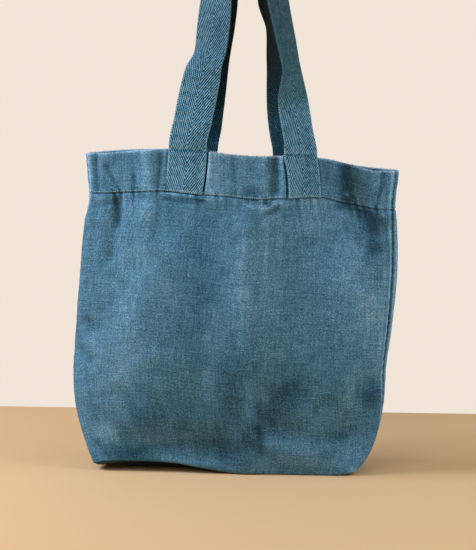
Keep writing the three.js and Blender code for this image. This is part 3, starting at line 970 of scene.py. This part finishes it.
def arch_rows(panel, offsets):
    """Rows of the arch between the two legs, from the left leg to the right."""
    angle = np.pi * (1 - np.arange(1, ARCH_ROWS) / ARCH_ROWS)
    middle_x = sum(end["leg"]["x"][-1] for end in panel["ends"]) / 2
    middle = np.stack(
        [
            middle_x + ARCH_RADIUS * np.cos(angle),
            np.full(angle.shape, -ARCH_Y),
            ARCH_START + ARCH_RADIUS * np.sin(angle),
        ],
        axis=-1,
    )
    along = np.stack([np.sin(angle), np.zeros(angle.shape), -np.cos(angle)], axis=-1)
    places = webbing_rows(middle, along, np.array([0.0, -1.0, 0.0]), offsets)
    if not panel["is_front"]:
        places[..., :2] *= -1
    return places


def handle_sheet(panel):
    """One handle: up its left leg, over the arch and down its right leg, as seen from its own side."""
    offsets = np.linspace(-1, 1, WEBBING_COLUMNS)
    offsets = np.sign(offsets) * np.abs(offsets) ** COLUMN_POWER * WEBBING_HALF
    left, right = panel["ends"]
    left_sewn, right_sewn = (sewn_rows(panel, end, offsets) for end in (left, right))
    left_free = leg_rows(panel, left, left_sewn[-1], offsets)
    right_free = leg_rows(panel, right, right_sewn[-1], offsets)
    down_right = np.concatenate([right_sewn, right_free])[::-1, ::-1]
    middle = np.concatenate([left_sewn, left_free, arch_rows(panel, offsets), down_right])
    out = grid_normals(middle)
    centre = middle[:, WEBBING_COLUMNS // 2]
    steps = np.linalg.norm(np.diff(centre, axis=0), axis=1)
    run = np.concatenate([[0], np.cumsum(steps)])
    side = offsets[None, :] / WEBBING_HALF
    roll = WEBBING_ROLL * waves(run, panel["seed"] + 3, ROLL_SIZES, 5)[:, None] * side
    cup = WEBBING_CUP * (1 - side**2)
    rim_left = run[SEWN_ROWS]
    rim_right = run[-1] - rim_left
    near_rim = bell(run - rim_left, RIM_DENT_REACH) + bell(run - rim_right, RIM_DENT_REACH)
    free = smoothstep(np.minimum(run, run[-1] - run), rim_left, rim_left + FREE_AFTER)
    bend = (roll + cup) * free[:, None] - RIM_DENT * near_rim[:, None] * (1 - free[:, None])
    ragged = SELVEDGE_WAVE * np.sin(4 * np.pi * run / RIB_PITCH)[:, None] * np.abs(side) ** EDGE_POWER * side
    widen = unit(np.gradient(middle, axis=1)) * ragged[..., None]
    from_edge = WEBBING_HALF * (1 - np.abs(side))
    thin = SELVEDGE_THICK_SHARE + (1 - SELVEDGE_THICK_SHARE) * smoothstep(from_edge, 0, SELVEDGE_WIDTH)
    return {
        "middle": middle + out * bend[..., None] + widen,
        "out": out,
        "thick": WEBBING_THICK * thin * np.ones(middle.shape[:2]),
        "offsets": offsets,
        "run": run,
        "rims": (rim_left, rim_right),
    }


def add_object(name, vertices, faces, material, flat_faces=()):
    """A mesh object from millimetres."""
    mesh = bpy.data.meshes.new(name)
    mesh.from_pydata((vertices * MM).tolist(), [], faces)
    smooth = np.ones(len(mesh.polygons), bool)
    smooth[list(flat_faces)] = False
    mesh.polygons.foreach_set("use_smooth", smooth)
    mesh.materials.append(material)
    piece = bpy.data.objects.new(name, mesh)
    bpy.context.collection.objects.link(piece)
    return piece


def set_attribute(piece, name, values):
    kind, field = ("FLOAT", "value") if values.ndim == 1 else ("FLOAT_VECTOR", "vector")
    attribute = piece.data.attributes.new(name, kind, "POINT")
    attribute.data.foreach_set(field, values.astype(np.float32).ravel())


def add_sheet(name, outer, inner, step, material):
    """Closed sheet between two grids of places, the inner one with every step-th row and column."""
    rows, columns = outer.shape[:2]
    inner_rows, inner_columns = inner.shape[:2]
    outer_at = np.arange(rows * columns).reshape(rows, columns)
    inner_at = rows * columns + np.arange(inner_rows * inner_columns).reshape(inner_rows, inner_columns)

    def quads(at, flip):
        corners = [at[:-1, :-1], at[:-1, 1:], at[1:, 1:], at[1:, :-1]]
        if flip:
            corners.reverse()
        return np.stack([corner.ravel() for corner in corners], axis=-1).tolist()

    def border(outer_line, inner_line):
        faces = []
        for i in range(len(inner_line) - 1):
            run = outer_line[i * step : (i + 1) * step + 1]
            faces.append([*run.tolist(), int(inner_line[i + 1]), int(inner_line[i])])
        return faces

    faces = quads(outer_at, False) + quads(inner_at, True)
    first_border = len(faces)
    faces += [face[::-1] for face in border(outer_at[0], inner_at[0])]
    faces += border(outer_at[-1], inner_at[-1])
    faces += border(outer_at[:, 0], inner_at[:, 0])
    faces += [face[::-1] for face in border(outer_at[:, -1], inner_at[:, -1])]
    vertices = np.concatenate([outer.reshape(-1, 3), inner.reshape(-1, 3)])
    return add_object(name, vertices, faces, material, range(first_border, len(faces)))


def both_faces(values, step):
    """A grid's values for the vertices of both faces of a sheet."""
    inner = values[::step, ::step]
    if values.ndim == 2:
        return np.concatenate([values.ravel(), inner.ravel()])
    return np.concatenate([values.reshape(-1, 3), inner.reshape(-1, 3)])


def set_attributes(piece, step, inside, **grids):
    """Attributes of a sheet from grids. inside, which marks where the materials paint shade on the inner
    faces, is a grid too, but all of the inner face is 1.
    """
    for name, grid in grids.items():
        set_attribute(piece, name, both_faces(grid, step))
    values = both_faces(inside, step)
    values[inside.size :] = 1
    set_attribute(piece, "inside", values)


def flat_places(across, up, seed):
    """Where a sheet's places lie on the flat cloth, with a layer of the noise for each panel."""
    return np.stack(np.broadcast_arrays(across[None, :], up[:, None], float(seed)), axis=-1)


# How much paler the worn cloth is beside its side seams, the rim being 1, and how much painted shade darkens
# the seams themselves
RIM_WEAR_ROWS = 3
SEAM_WEAR = 0.5
SEAM_WEAR_AWAY = 4.5
SEAM_WEAR_WIDTH = 2
SEAM_SHADE = 0.5
SEAM_SHADE_WIDTH = 1.8

# Painted shade: how much darker the hem's groove is, the dips beside the webbing for each millimetre of
# depth, and the base's underside
HEM_GROOVE_SHADE = 0.12
HEM_SHADE_BELOW = 0.4
HEM_SHADE_WIDTH = 0.9
DIP_SHADE = 0.12
UNDER_BASE_SHADE = 0.8


def add_panel(panel, material):
    sheet = panel_sheet(panel)
    half = CLOTH_THICK / 2
    outer = sheet["middle"] + sheet["out"] * (half + sheet["raised"])[..., None]
    inner = (sheet["middle"] - sheet["out"] * half)[::INNER_STEP, ::INNER_STEP]
    piece = add_sheet(f"{panel['name']}_panel_cloth", outer, inner, INNER_STEP, material)
    rise = np.linalg.norm(np.diff(sheet["middle"], axis=0), axis=2).mean(axis=1)
    up = np.concatenate([[0], np.cumsum(rise)])
    from_rim = np.arange(len(up))[:, None] - sheet["rim_row"] - RIM_ROWS / 2
    from_seam = PANEL_HALF - np.abs(sheet["across"])[None, :]
    worn = bell(from_rim, RIM_WEAR_ROWS) + SEAM_WEAR * bell(from_seam - SEAM_WEAR_AWAY, SEAM_WEAR_WIDTH)
    is_inner_ply = smoothstep(from_rim, 1, RIM_ROWS)
    x, z = sheet["middle"][..., 0], sheet["middle"][..., 2]
    # Painted light and shade: the broad patches and the narrow lines along the folds
    washed = wash_at(panel["wash"], x, z) + fold_height(panel["lines"], x, z)
    above_hem = z - edge_at(panel, sheet["across"], "hem")
    # Painted shade in the hem's groove, under the base, in the seams and in the dips beside the webbing
    washed -= HEM_GROOVE_SHADE * bell(above_hem + HEM_SHADE_BELOW, HEM_SHADE_WIDTH)
    washed[: BASE_ROWS + EDGE_ROWS // 2] -= UNDER_BASE_SHADE
    washed -= SEAM_SHADE * bell(from_seam, SEAM_SHADE_WIDTH)
    washed -= DIP_SHADE * webbing_dips(panel, sheet["across"], z)
    set_attributes(
        piece,
        INNER_STEP,
        # The hem's inner ply and the inner face get painted shade for the bag's dark inside
        inside=is_inner_ply * np.ones(x.shape),
        cloth=flat_places(sheet["across"], up, panel["seed"]),
        tone=sheet["tone"],
        wash=washed,
        # A bluer tint painted where cool light falls
        dye=wash_at(panel["dye"], x, z),
        wear=worn * (1 - is_inner_ply),
    )
    return piece


# The webbing is worn at its cut ends. Its crease at the rim has a stripe of painted highlight above one of
# painted shade, both wavy.
END_WEAR = 1.2
CREASE_PALE = 0.8
PALE_ABOVE = 1.8
PALE_WIDTH = 1.1
DARK_BELOW = 1.2
DARK_WIDTH = 1.5
STRIPE_WAVE = 0.8
STRIPE_WAVE_SIZES = (9, 30)

# How much painted shade darkens the upper parts of the handles and their inner faces, and what share of red,
# green and blue one leg keeps under its painted shade
TOP_SHADE = 0.34
TOP_SHADE_SPAN = (45, 130)
INNER_SHADE = 0.46
LEG_SHADE_KEPT = (0.56, 0.65, 0.58)
LEG_SHADE_SPAN = (42, 66)


def add_handle(panel, material):
    sheet = handle_sheet(panel)
    shift = sheet["out"] * (sheet["thick"] / 2)[..., None]
    outer, inner = sheet["middle"] + shift, sheet["middle"] - shift
    piece = add_sheet(f"{panel['name']}_handle_webbing", outer, inner, 1, material)
    run = sheet["run"]
    from_end = np.minimum(run, run[-1] - run)[:, None]
    rim_left, rim_right = sheet["rims"]
    wavy = STRIPE_WAVE * waves(sheet["offsets"], panel["seed"] + 4, STRIPE_WAVE_SIZES, 4)
    above = np.minimum(run - rim_left, rim_right - run)[:, None] + wavy
    # Painted highlight above the rim crease and painted shade in it
    bent = CREASE_PALE * bell(above - PALE_ABOVE, PALE_WIDTH) - bell(above + DARK_BELOW, DARK_WIDTH)
    # Painted shade: darker towards the handles' tops, darker and greener on one leg, darkest on the inner
    # faces
    top = smoothstep(above, *TOP_SHADE_SPAN)
    leg_shade = smoothstep(run[:, None] / run[-1], *panel["shaded_leg"]) * smoothstep(above, *LEG_SHADE_SPAN)
    leg_kept = 1 - leg_shade[..., None] * (1 - np.array(LEG_SHADE_KEPT))
    painted_shade_factor = both_faces((1 - TOP_SHADE * top)[..., None] * leg_kept, 1)
    painted_shade_factor[top.size :] *= np.ravel(1 - INNER_SHADE * top)[:, None]
    set_attribute(piece, "painted_shade_factor", painted_shade_factor)
    set_attributes(
        piece,
        1,
        inside=np.zeros(bent.shape),
        cloth=flat_places(sheet["offsets"], run, panel["seed"]),
        wear=np.exp(-from_end / END_WEAR) * np.ones(bent.shape),
        tone=bent,
    )
    return piece


# Stitches: each is a small capsule that lies in the cloth, the deeper the further to the right. In shares of
# its radius, its middle stands STITCH_OUT out of the cloth, and its ends dive in by STITCH_DIVE.
STITCH_SINKS = table(
    "across sink", (-187.5, 0), (-100, 0.05), (-70, 0.3), (60, 0.35), (105, 0.5), (187.5, 0.55)
)
STITCH_ABOVE = 1.9
STITCH_PITCH = 2.5
STITCH_INSET = 3
STITCH_LENGTH = 1.25
STITCH_UNEVEN = (0.85, 1.1)
STITCH_TILT = 0.1
STITCH_STRAY = 0.12
STITCH_RADIUS = 0.4
STITCH_OUT = 0.6
STITCH_DIVE = 1.6
STITCH_POWER = 4
STITCH_SIDES = 6
CAPSULE_RINGS = ((0, 0.35), (0.14, 0.85), (0.5, 1), (0.86, 0.85), (1, 0.35))


# A direction that no tube runs along
TUBE_HELPER = np.array([0.31, -0.83, 0.47])


def tube(places, radii, sides, bottom):
    """Vertices and faces of a tube with flat ends along a line of places."""
    along = unit(np.gradient(places, axis=0))
    one = unit(np.cross(along, TUBE_HELPER))
    two = np.cross(along, one)
    angle = 2 * np.pi * np.arange(sides) / sides
    round_about = np.cos(angle)[None, :, None] * one[:, None] + np.sin(angle)[None, :, None] * two[:, None]
    vertices = (places[:, None] + round_about * np.asarray(radii)[:, None, None]).reshape(-1, 3)
    faces = []
    for ring in range(len(places) - 1):
        for side in range(sides):
            after = (side + 1) % sides
            low, high = bottom + ring * sides, bottom + (ring + 1) * sides
            faces.append([low + side, low + after, high + after, high + side])
    last = bottom + (len(places) - 1) * sides
    faces.append([bottom + side for side in range(sides)][::-1])
    faces.append([last + side for side in range(sides)])
    return vertices, faces


def add_tubes(name, lines, sides, material):
    """One piece of many tubes. Each line is its places and its radii."""
    vertices, faces, count = [], [], 0
    for places, radii in lines:
        more_vertices, more_faces = tube(places, radii, sides, count)
        vertices.append(more_vertices)
        faces += more_faces
        count += len(more_vertices)
    return add_object(name, np.concatenate(vertices), faces, material)


def on_face(panel, across, z, out, is_inside=False):
    """Places out of the panel's outer face, or into the bag from the hem's inner face."""
    normal = wall_normal(panel, across, z)
    middle = wall(panel, across, z)
    if is_inside:
        return middle - normal * (HEM_FOLD + CLOTH_THICK / 2 + out)[..., None]
    webbing = under_webbing(panel, across, z)
    plain = CLOTH_THICK / 2 + skin(panel, across, z)
    over_webbing = (WEBBING_STAND + WEBBING_THICK / 2 + out)[..., None]
    sewn = wall(panel, across, z, small=False) + normal * over_webbing
    bare = middle + normal * (plain + out)[..., None]
    return bare + (sewn - bare) * (webbing > 0.5)[..., None]


def stitch_lines(panel, seed, is_inside=False):
    """Lines of the stitches along a panel's hem."""
    rng = np.random.default_rng(seed)
    middles = np.arange(-PANEL_HALF + STITCH_INSET, PANEL_HALF - STITCH_INSET, STITCH_PITCH)
    shares = np.array([share for share, _ in CAPSULE_RINGS])
    lengths = STITCH_LENGTH * rng.uniform(*STITCH_UNEVEN, len(middles))
    tilts = rng.normal(0, STITCH_TILT, len(middles))
    starts = rng.normal(0, STITCH_STRAY, len(middles))
    across = middles[:, None] + starts[:, None] + (shares - 0.5)[None, :] * lengths[:, None]
    z = edge_at(panel, across, "hem") + STITCH_ABOVE + (shares - 0.5)[None, :] * tilts[:, None]
    out = STITCH_RADIUS * (STITCH_OUT - STITCH_DIVE * (2 * shares - 1) ** STITCH_POWER)[None, :]
    places = on_face(panel, across, z, out - read(STITCH_SINKS, across, "sink"), is_inside)
    radii = STITCH_RADIUS * np.array([radius for _, radius in CAPSULE_RINGS])
    return [(line, radii) for line in places]


# Loose fibres: how many root on which spans across the panel, how long they are, and how they point and stray
FIBRE_SPANS = ((-189, -87, 110), (-37, 57, 460), (107, 183, 90))
FIBRE_LENGTHS = (0.8, 3)
FIBRE_ANGLES = (-0.2, 0.55 * math.pi)
FIBRE_STRAY = 0.6
FIBRE_SIDES = 3
FIBRE_RADIUS = 0.14
FIBRE_TIP = 0.5
FIBRE_POINTS = 6
FIBRE_BEND = 0.25
FIBRE_DROOP = 0.12


def fibre_lines(panel, seed):
    """Fine curved fibres on the rim."""
    rng = np.random.default_rng(seed)
    across = np.concatenate([rng.uniform(start, end, count) for start, end, count in FIBRE_SPANS])
    count = len(across)
    z = edge_at(panel, across, "rim") - HEM_TOP
    normal = wall_normal(panel, across, z)
    angle = rng.uniform(*FIBRE_ANGLES, (count, 1))
    outward = normal * np.cos(angle) + UP * np.sin(angle)
    centre = wall(panel, across, z) - normal * HEM_FOLD / 2
    place = centre + outward * ((HEM_FOLD + CLOTH_THICK) / 2 - FIBRE_RADIUS)
    heading = outward + rng.normal(0, FIBRE_STRAY, (count, 3))
    bend = rng.normal(0, FIBRE_BEND, (count, 3))
    step = rng.uniform(*FIBRE_LENGTHS, (count, 1)) / (FIBRE_POINTS - 1)
    places = [place]
    for _ in range(FIBRE_POINTS - 1):
        heading = unit(heading + bend - FIBRE_DROOP * UP)
        place = place + heading * step
        places.append(place)
    radii = FIBRE_RADIUS * np.linspace(1, FIBRE_TIP, FIBRE_POINTS)
    return [(line, radii) for line in np.stack(places, axis=1)]


class Shader:
    """Builds a material's nodes. Inputs are values or the outputs of other nodes."""

    def __init__(self, name):
        self.material = bpy.data.materials.new(name)
        self.material.use_nodes = True
        self.tree = self.material.node_tree
        self.tree.nodes.clear()

    def add(self, kind, output=0, settings=(), **inputs):
        node = self.tree.nodes.new(kind)
        for name, value in dict(settings).items():
            setattr(node, name, value)
        for name, value in inputs.items():
            key = int(name[1:]) if name[1:].isdigit() else name.replace("_", " ")
            socket = node.inputs[key]
            if isinstance(value, bpy.types.NodeSocket):
                self.tree.links.new(value, socket)
            else:
                socket.default_value = value
        return None if output is None else node.outputs[output]

    def attribute(self, name, output):
        return self.add("ShaderNodeAttribute", output, {"attribute_name": name})

    def math(self, operation, *values, kind="ShaderNodeMath"):
        inputs = {f"i{i}": value for i, value in enumerate(values)}
        return self.add(kind, 0, {"operation": operation}, **inputs)

    def vector_math(self, operation, *values):
        return self.math(operation, *values, kind="ShaderNodeVectorMath")

    def ridges(self, at, pitch):
        """Ridges from 0 to 1, one for each pitch."""
        return self.math("ABSOLUTE", self.math("SINE", self.math("MULTIPLY", at, math.pi / pitch)))

    def noise(self, place, sizes, detail=1.0, rough=0.5):
        """Noise about 0.5, with marks of these sizes along each axis."""
        stretched = self.vector_math("MULTIPLY", place, tuple(1 / size for size in sizes))
        inputs = {"Vector": stretched, "Scale": 1.0, "Detail": detail, "Roughness": rough}
        return self.add("ShaderNodeTexNoise", "Fac", **inputs)

    def sum(self, *terms):
        """0.5 plus (value - middle) * weight for each term (value, middle, weight)."""
        total = 0.5 - sum(middle * weight for _, middle, weight in terms)
        for value, _, weight in terms:
            total = self.math("MULTIPLY_ADD", value, weight, total)
        return total

    def ramp(self, value, *stops):
        node = self.tree.nodes.new("ShaderNodeValToRGB")
        self.tree.links.new(value, node.inputs[0])
        elements = node.color_ramp.elements
        while len(elements) < len(stops):
            elements.new(0.5)
        for element, (place, colour) in zip(elements, stops):
            element.position = place
            element.color = (*colour, 1)
        return node.outputs[0]

    def dyed(self, colour):
        """A colour made bluer by the painted tint that stands in for cool light."""
        dye = self.attribute("dye", "Fac")
        shift = self.add("ShaderNodeVectorMath", 0, {"operation": "SCALE"}, i0=COOL_TINT_SHIFT, Scale=dye)
        return self.vector_math("MULTIPLY_ADD", colour, shift, colour)

    def cloth(self, colour, height, distance, sheen, roughness):
        """Matt cloth with a raised pattern. distance is the height of the relief in metres."""
        bump = self.add("ShaderNodeBump", Strength=1.0, Distance=distance, Height=height)
        principled = self.add(
            "ShaderNodeBsdfPrincipled",
            Base_Color=colour,
            Roughness=roughness,
            IOR=1.45,
            Specular_IOR_Level=0.1,
            Sheen_Weight=sheen,
            Sheen_Roughness=0.5,
            Normal=bump,
        )
        self.add("ShaderNodeOutputMaterial", None, Surface=principled)
        return self.material


# Colours as linear RGB: linen and webbing in shade, plain, pale and worn, the threads, and the stage.
# The tint shift is the share by which the painted cool light tint changes red, green and blue.
LINEN_DARK = (0.0145, 0.049, 0.074)
LINEN_PLAIN = (0.053, 0.148, 0.224)
LINEN_PALE = (0.13, 0.287, 0.4)
LINEN_WORN = (0.3, 0.47, 0.58)
COOL_TINT_SHIFT = (-0.14, 0, 0.1)
WEBBING_DARK = (0.009, 0.036, 0.048)
WEBBING_PLAIN = (0.026, 0.108, 0.17)
WEBBING_PALE = (0.09, 0.285, 0.43)
WEBBING_WORN = (0.25, 0.46, 0.57)
STITCH_PLAIN = (0.33, 0.54, 0.62)
FIBRE_PLAIN = (0.5, 0.6, 0.62)
FLOOR_COLOUR = (0.72, 0.47, 0.25)
WALL_COLOUR = (0.88, 0.78, 0.69)

# Finish of the materials: height of the relief and size of the fuzz in metres, sheen and roughness
LINEN_RELIEF = 0.0006
WEBBING_RELIEF = 0.0008
THREAD_RELIEF = 0.0002
FUZZ_SIZE = 1 / 900
CLOTH_SHEEN = 0.08
CLOTH_ROUGHNESS = 0.95
THREAD_SHEEN = 0.04
THREAD_ROUGHNESS = 0.9
FLOOR_ROUGHNESS = 0.6

# How a thread's colour is darkened and made paler
THREAD_DARK = 0.55
THREAD_PALE = 1.4

# Yarns, about 14 to the centimetre, uneven in width and tone, a few of them thick slubs
YARN = 0.75
YARN_RUN = 2.6
SLUB_RUN = 26


def linen_material():
    shader = Shader("washed_linen")
    place = shader.attribute("cloth", "Vector")
    tone = shader.attribute("tone", "Fac")
    wash = shader.attribute("wash", "Fac")
    inside = shader.attribute("inside", "Fac")
    fray = shader.noise(place, (1.8, 1.8, 1), 2)
    wear = shader.math("MULTIPLY", shader.attribute("wear", "Fac"), fray)
    warp = shader.noise(place, (1.2 * YARN, YARN_RUN, 1))
    weft = shader.noise(place, (YARN_RUN, 1.2 * YARN, 1))
    grain = shader.noise(place, (1.1, 1.1, 1))
    warp_slub = shader.noise(place, (1.9, SLUB_RUN, 1))
    weft_slub = shader.noise(place, (SLUB_RUN, 1.9, 1))
    cloud = shader.noise(place, (48, 62, 1), 3, 0.55)
    mottle = shader.noise(place, (9, 11, 1), 2)
    shade = shader.sum(
        (warp, 0.5, 0.7),
        (weft, 0.5, 0.7),
        (grain, 0.5, 0.8),
        (warp_slub, 0.5, 0.38),
        (weft_slub, 0.5, 0.38),
        (cloud, 0.5, 0.22),
        (mottle, 0.5, 0.25),
        # Painted shade and highlight of the creases, painted light and shade patches, real wear, and painted
        # shade inside the bag
        (tone, 0, 0.2),
        (wash, 0, 1),
        (wear, 0, 1.4),
        (inside, 0, -0.6),
    )
    colour = shader.ramp(
        shade, (0.12, LINEN_DARK), (0.46, LINEN_PLAIN), (0.78, LINEN_PALE), (1, LINEN_WORN)
    )
    height = shader.sum((warp, 0.5, 1), (weft, 0.5, 1), (warp_slub, 0.5, 0.8), (weft_slub, 0.5, 0.8))
    return shader.cloth(shader.dyed(colour), height, LINEN_RELIEF, CLOTH_SHEEN, CLOTH_ROUGHNESS)


# The floats cross the ribs, and both waver
FLOAT_PITCH = 2.6
FLOAT_SLOPE = 0.9
RIB_WAVER = 2.4
FLOAT_WAVER = 2
FLOAT_SHARE = 0.45
RIB_SHARE = 0.65


def webbing_material():
    """Herringbone: ribs of short floats slant down to the middle, between narrow zigzag selvedges."""
    shader = Shader("herringbone_webbing")
    place = shader.attribute("cloth", "Vector")
    wear = shader.attribute("wear", "Fac")
    tone = shader.attribute("tone", "Fac")
    inside = shader.attribute("inside", "Fac")
    parts = shader.tree.nodes.new("ShaderNodeSeparateXYZ")
    shader.tree.links.new(place, parts.inputs[0])
    side, run = parts.outputs[0], parts.outputs[1]
    away = shader.math("ABSOLUTE", side)
    wobble = shader.noise(place, (5, 9, 1))
    slanted = shader.math("MULTIPLY_ADD", away, -RIB_SLOPE, run)
    uneven = shader.math("MULTIPLY_ADD", wobble, RIB_WAVER, slanted)
    rib = shader.ridges(uneven, RIB_PITCH)
    other_way = shader.math("MULTIPLY_ADD", away, FLOAT_SLOPE, run)
    float_phase = shader.math("MULTIPLY_ADD", wobble, FLOAT_WAVER, other_way)
    floats = shader.ridges(float_phase, FLOAT_PITCH)
    is_selvedge = shader.math("GREATER_THAN", away, WEBBING_HALF - SELVEDGE_WIDTH)
    woven = shader.math("MULTIPLY", rib, shader.math("MULTIPLY_ADD", floats, FLOAT_SHARE, RIB_SHARE))
    pattern = shader.add("ShaderNodeMix", 0, (), Factor=is_selvedge, i2=woven, i3=floats)
    grain = shader.noise(place, (1.2, 1.2, 1))
    specks = shader.noise(place, (2.2, 2.2, 1))
    cloud = shader.noise(place, (30, 60, 1), 2)
    mottle = shader.noise(place, (5, 6, 1), 2)
    shade = shader.sum(
        (pattern, 0.52, 1),
        (grain, 0.5, 0.45),
        (specks, 0.5, 0.7),
        (mottle, 0.5, 0.8),
        (cloud, 0.5, 0.5),
        (is_selvedge, 0, 0.2),
        (wear, 0, 0.4),
        # Painted highlight and shade of the rim crease, and painted shade on the inner faces
        (tone, 0, 0.3),
        (inside, 0, -0.5),
    )
    colour = shader.ramp(
        shade, (0.1, WEBBING_DARK), (0.46, WEBBING_PLAIN), (0.76, WEBBING_PALE), (1, WEBBING_WORN)
    )
    # Painted shade, as the share of each colour kept
    painted_shade_factor = shader.attribute("painted_shade_factor", "Vector")
    shaded = shader.vector_math("MULTIPLY", colour, painted_shade_factor)
    height = shader.sum((pattern, 0.5, 1), (grain, 0.5, 0.6))
    return shader.cloth(shaded, height, WEBBING_RELIEF, CLOTH_SHEEN, CLOTH_ROUGHNESS)


def thread_material(name, colour):
    shader = Shader(name)
    coordinates = shader.add("ShaderNodeTexCoord", "Object")
    fuzz = shader.noise(coordinates, (FUZZ_SIZE, FUZZ_SIZE, FUZZ_SIZE), 2)
    dark = tuple(THREAD_DARK * part for part in colour)
    pale = tuple(min(1, THREAD_PALE * part) for part in colour)
    tinted = shader.ramp(fuzz, (0.25, dark), (0.75, pale))
    return shader.cloth(tinted, fuzz, THREAD_RELIEF, THREAD_SHEEN, THREAD_ROUGHNESS)


def plain_material(name, colour, roughness):
    shader = Shader(name)
    principled = shader.add(
        "ShaderNodeBsdfPrincipled", Base_Color=(*colour, 1), Roughness=roughness, Specular_IOR_Level=0.2
    )
    shader.add("ShaderNodeOutputMaterial", None, Surface=principled)
    return shader.material


# The photograph's camera: where it stands round the bag, in degrees and metres
CAMERA_AZIMUTH = 5
CAMERA_ELEVATION = 7
CAMERA_DISTANCE = 2.4
CAMERA_TARGET = Vector((0.004, 0, 0.226))
CAMERA_LENS = 136.6
SENSOR_WIDTH = 36

# The table ends a little way behind the bag
FLOOR_HALF_WIDTH = 2.2
FLOOR_FRONT = -2.2
FLOOR_BACK = 0.36

# Soft studio lights: name, place, size, power and colour. All of them face one place on the bag.
LIGHT_TARGET = Vector((0, 0, 0.25))
LIGHTS = (
    ("key", (-1.2, -0.3, 1.0), 0.6, 21, (0.86, 0.97, 1.2)),
    ("fill", (1.3, -0.4, 0.9), 0.8, 11.5, (0.8, 0.97, 1.2)),
    ("front", (-0.7, -1.9, 1.5), 1.5, 14, (1, 0.97, 1)),
)
AMBIENT_COLOUR = (1, 0.8, 0.5)
AMBIENT_STRENGTH = 0.29


def add_camera():
    azimuth, elevation = math.radians(CAMERA_AZIMUTH), math.radians(CAMERA_ELEVATION)
    back = Vector((
        math.sin(azimuth) * math.cos(elevation),
        -math.cos(azimuth) * math.cos(elevation),
        math.sin(elevation),
    ))
    data = bpy.data.cameras.new("photo_camera")
    data.lens = CAMERA_LENS
    data.sensor_width = SENSOR_WIDTH
    camera = bpy.data.objects.new("photo_camera", data)
    bpy.context.collection.objects.link(camera)
    camera.location = CAMERA_TARGET + CAMERA_DISTANCE * back
    camera.rotation_euler = back.to_track_quat("Z", "Y").to_euler()
    bpy.context.scene.camera = camera


def add_light(name, place, size, power, colour):
    data = bpy.data.lights.new(name, "AREA")
    data.size = size
    data.energy = power
    data.color = colour
    light = bpy.data.objects.new(name, data)
    bpy.context.collection.objects.link(light)
    light.location = place
    light.rotation_euler = (Vector(place) - LIGHT_TARGET).to_track_quat("Z", "Y").to_euler()


def add_world():
    """Soft ambient light, and a plain pale wall colour behind the table."""
    world = bpy.data.worlds.new("studio")
    bpy.context.scene.world = world
    world.use_nodes = True
    nodes, links = world.node_tree.nodes, world.node_tree.links
    nodes.clear()
    ambient = nodes.new("ShaderNodeBackground")
    ambient.inputs["Color"].default_value = (*AMBIENT_COLOUR, 1)
    ambient.inputs["Strength"].default_value = AMBIENT_STRENGTH
    backdrop = nodes.new("ShaderNodeBackground")
    backdrop.inputs["Color"].default_value = (*WALL_COLOUR, 1)
    path = nodes.new("ShaderNodeLightPath")
    either = nodes.new("ShaderNodeMixShader")
    output = nodes.new("ShaderNodeOutputWorld")
    links.new(path.outputs["Is Camera Ray"], either.inputs[0])
    links.new(ambient.outputs[0], either.inputs[1])
    links.new(backdrop.outputs[0], either.inputs[2])
    links.new(either.outputs[0], output.inputs["Surface"])


def add_floor():
    corners = np.array([
        (-FLOOR_HALF_WIDTH, FLOOR_FRONT, 0),
        (FLOOR_HALF_WIDTH, FLOOR_FRONT, 0),
        (FLOOR_HALF_WIDTH, FLOOR_BACK, 0),
        (-FLOOR_HALF_WIDTH, FLOOR_BACK, 0),
    ])
    pale_table = plain_material("pale_table", FLOOR_COLOUR, FLOOR_ROUGHNESS)
    floor = add_object("floor", corners / MM, [[0, 1, 2, 3]], pale_table)


def add_bag():
    linen = linen_material()
    webbing = webbing_material()
    stitch = thread_material("stitch_thread", STITCH_PLAIN)
    fibre = thread_material("loose_fibre", FIBRE_PLAIN)
    for panel in (FRONT, BACK):
        name = panel["name"]
        cloth = add_panel(panel, linen)
        handle = add_handle(panel, webbing)
        outside = add_tubes(
            f"{name}_hem_stitches", stitch_lines(panel, panel["seed"] + 30), STITCH_SIDES, stitch
        )
        inside = add_tubes(
            f"{name}_hem_stitches_inside",
            stitch_lines(panel, panel["seed"] + 31, is_inside=True),
            STITCH_SIDES,
            stitch,
        )
        fibres = add_tubes(
            f"{name}_rim_fibres", fibre_lines(panel, panel["seed"] + 40), FIBRE_SIDES, fibre
        )
        for piece in (cloth, handle, outside, inside, fibres):
            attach(piece, "root")
        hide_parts(f"{name}_panel")
        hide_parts(f"{name}_handle")


add_camera()
add_world()
for light in LIGHTS:
    add_light(*light)
add_floor()
add_bag()
bpy.context.scene.view_settings.view_transform = "Standard"
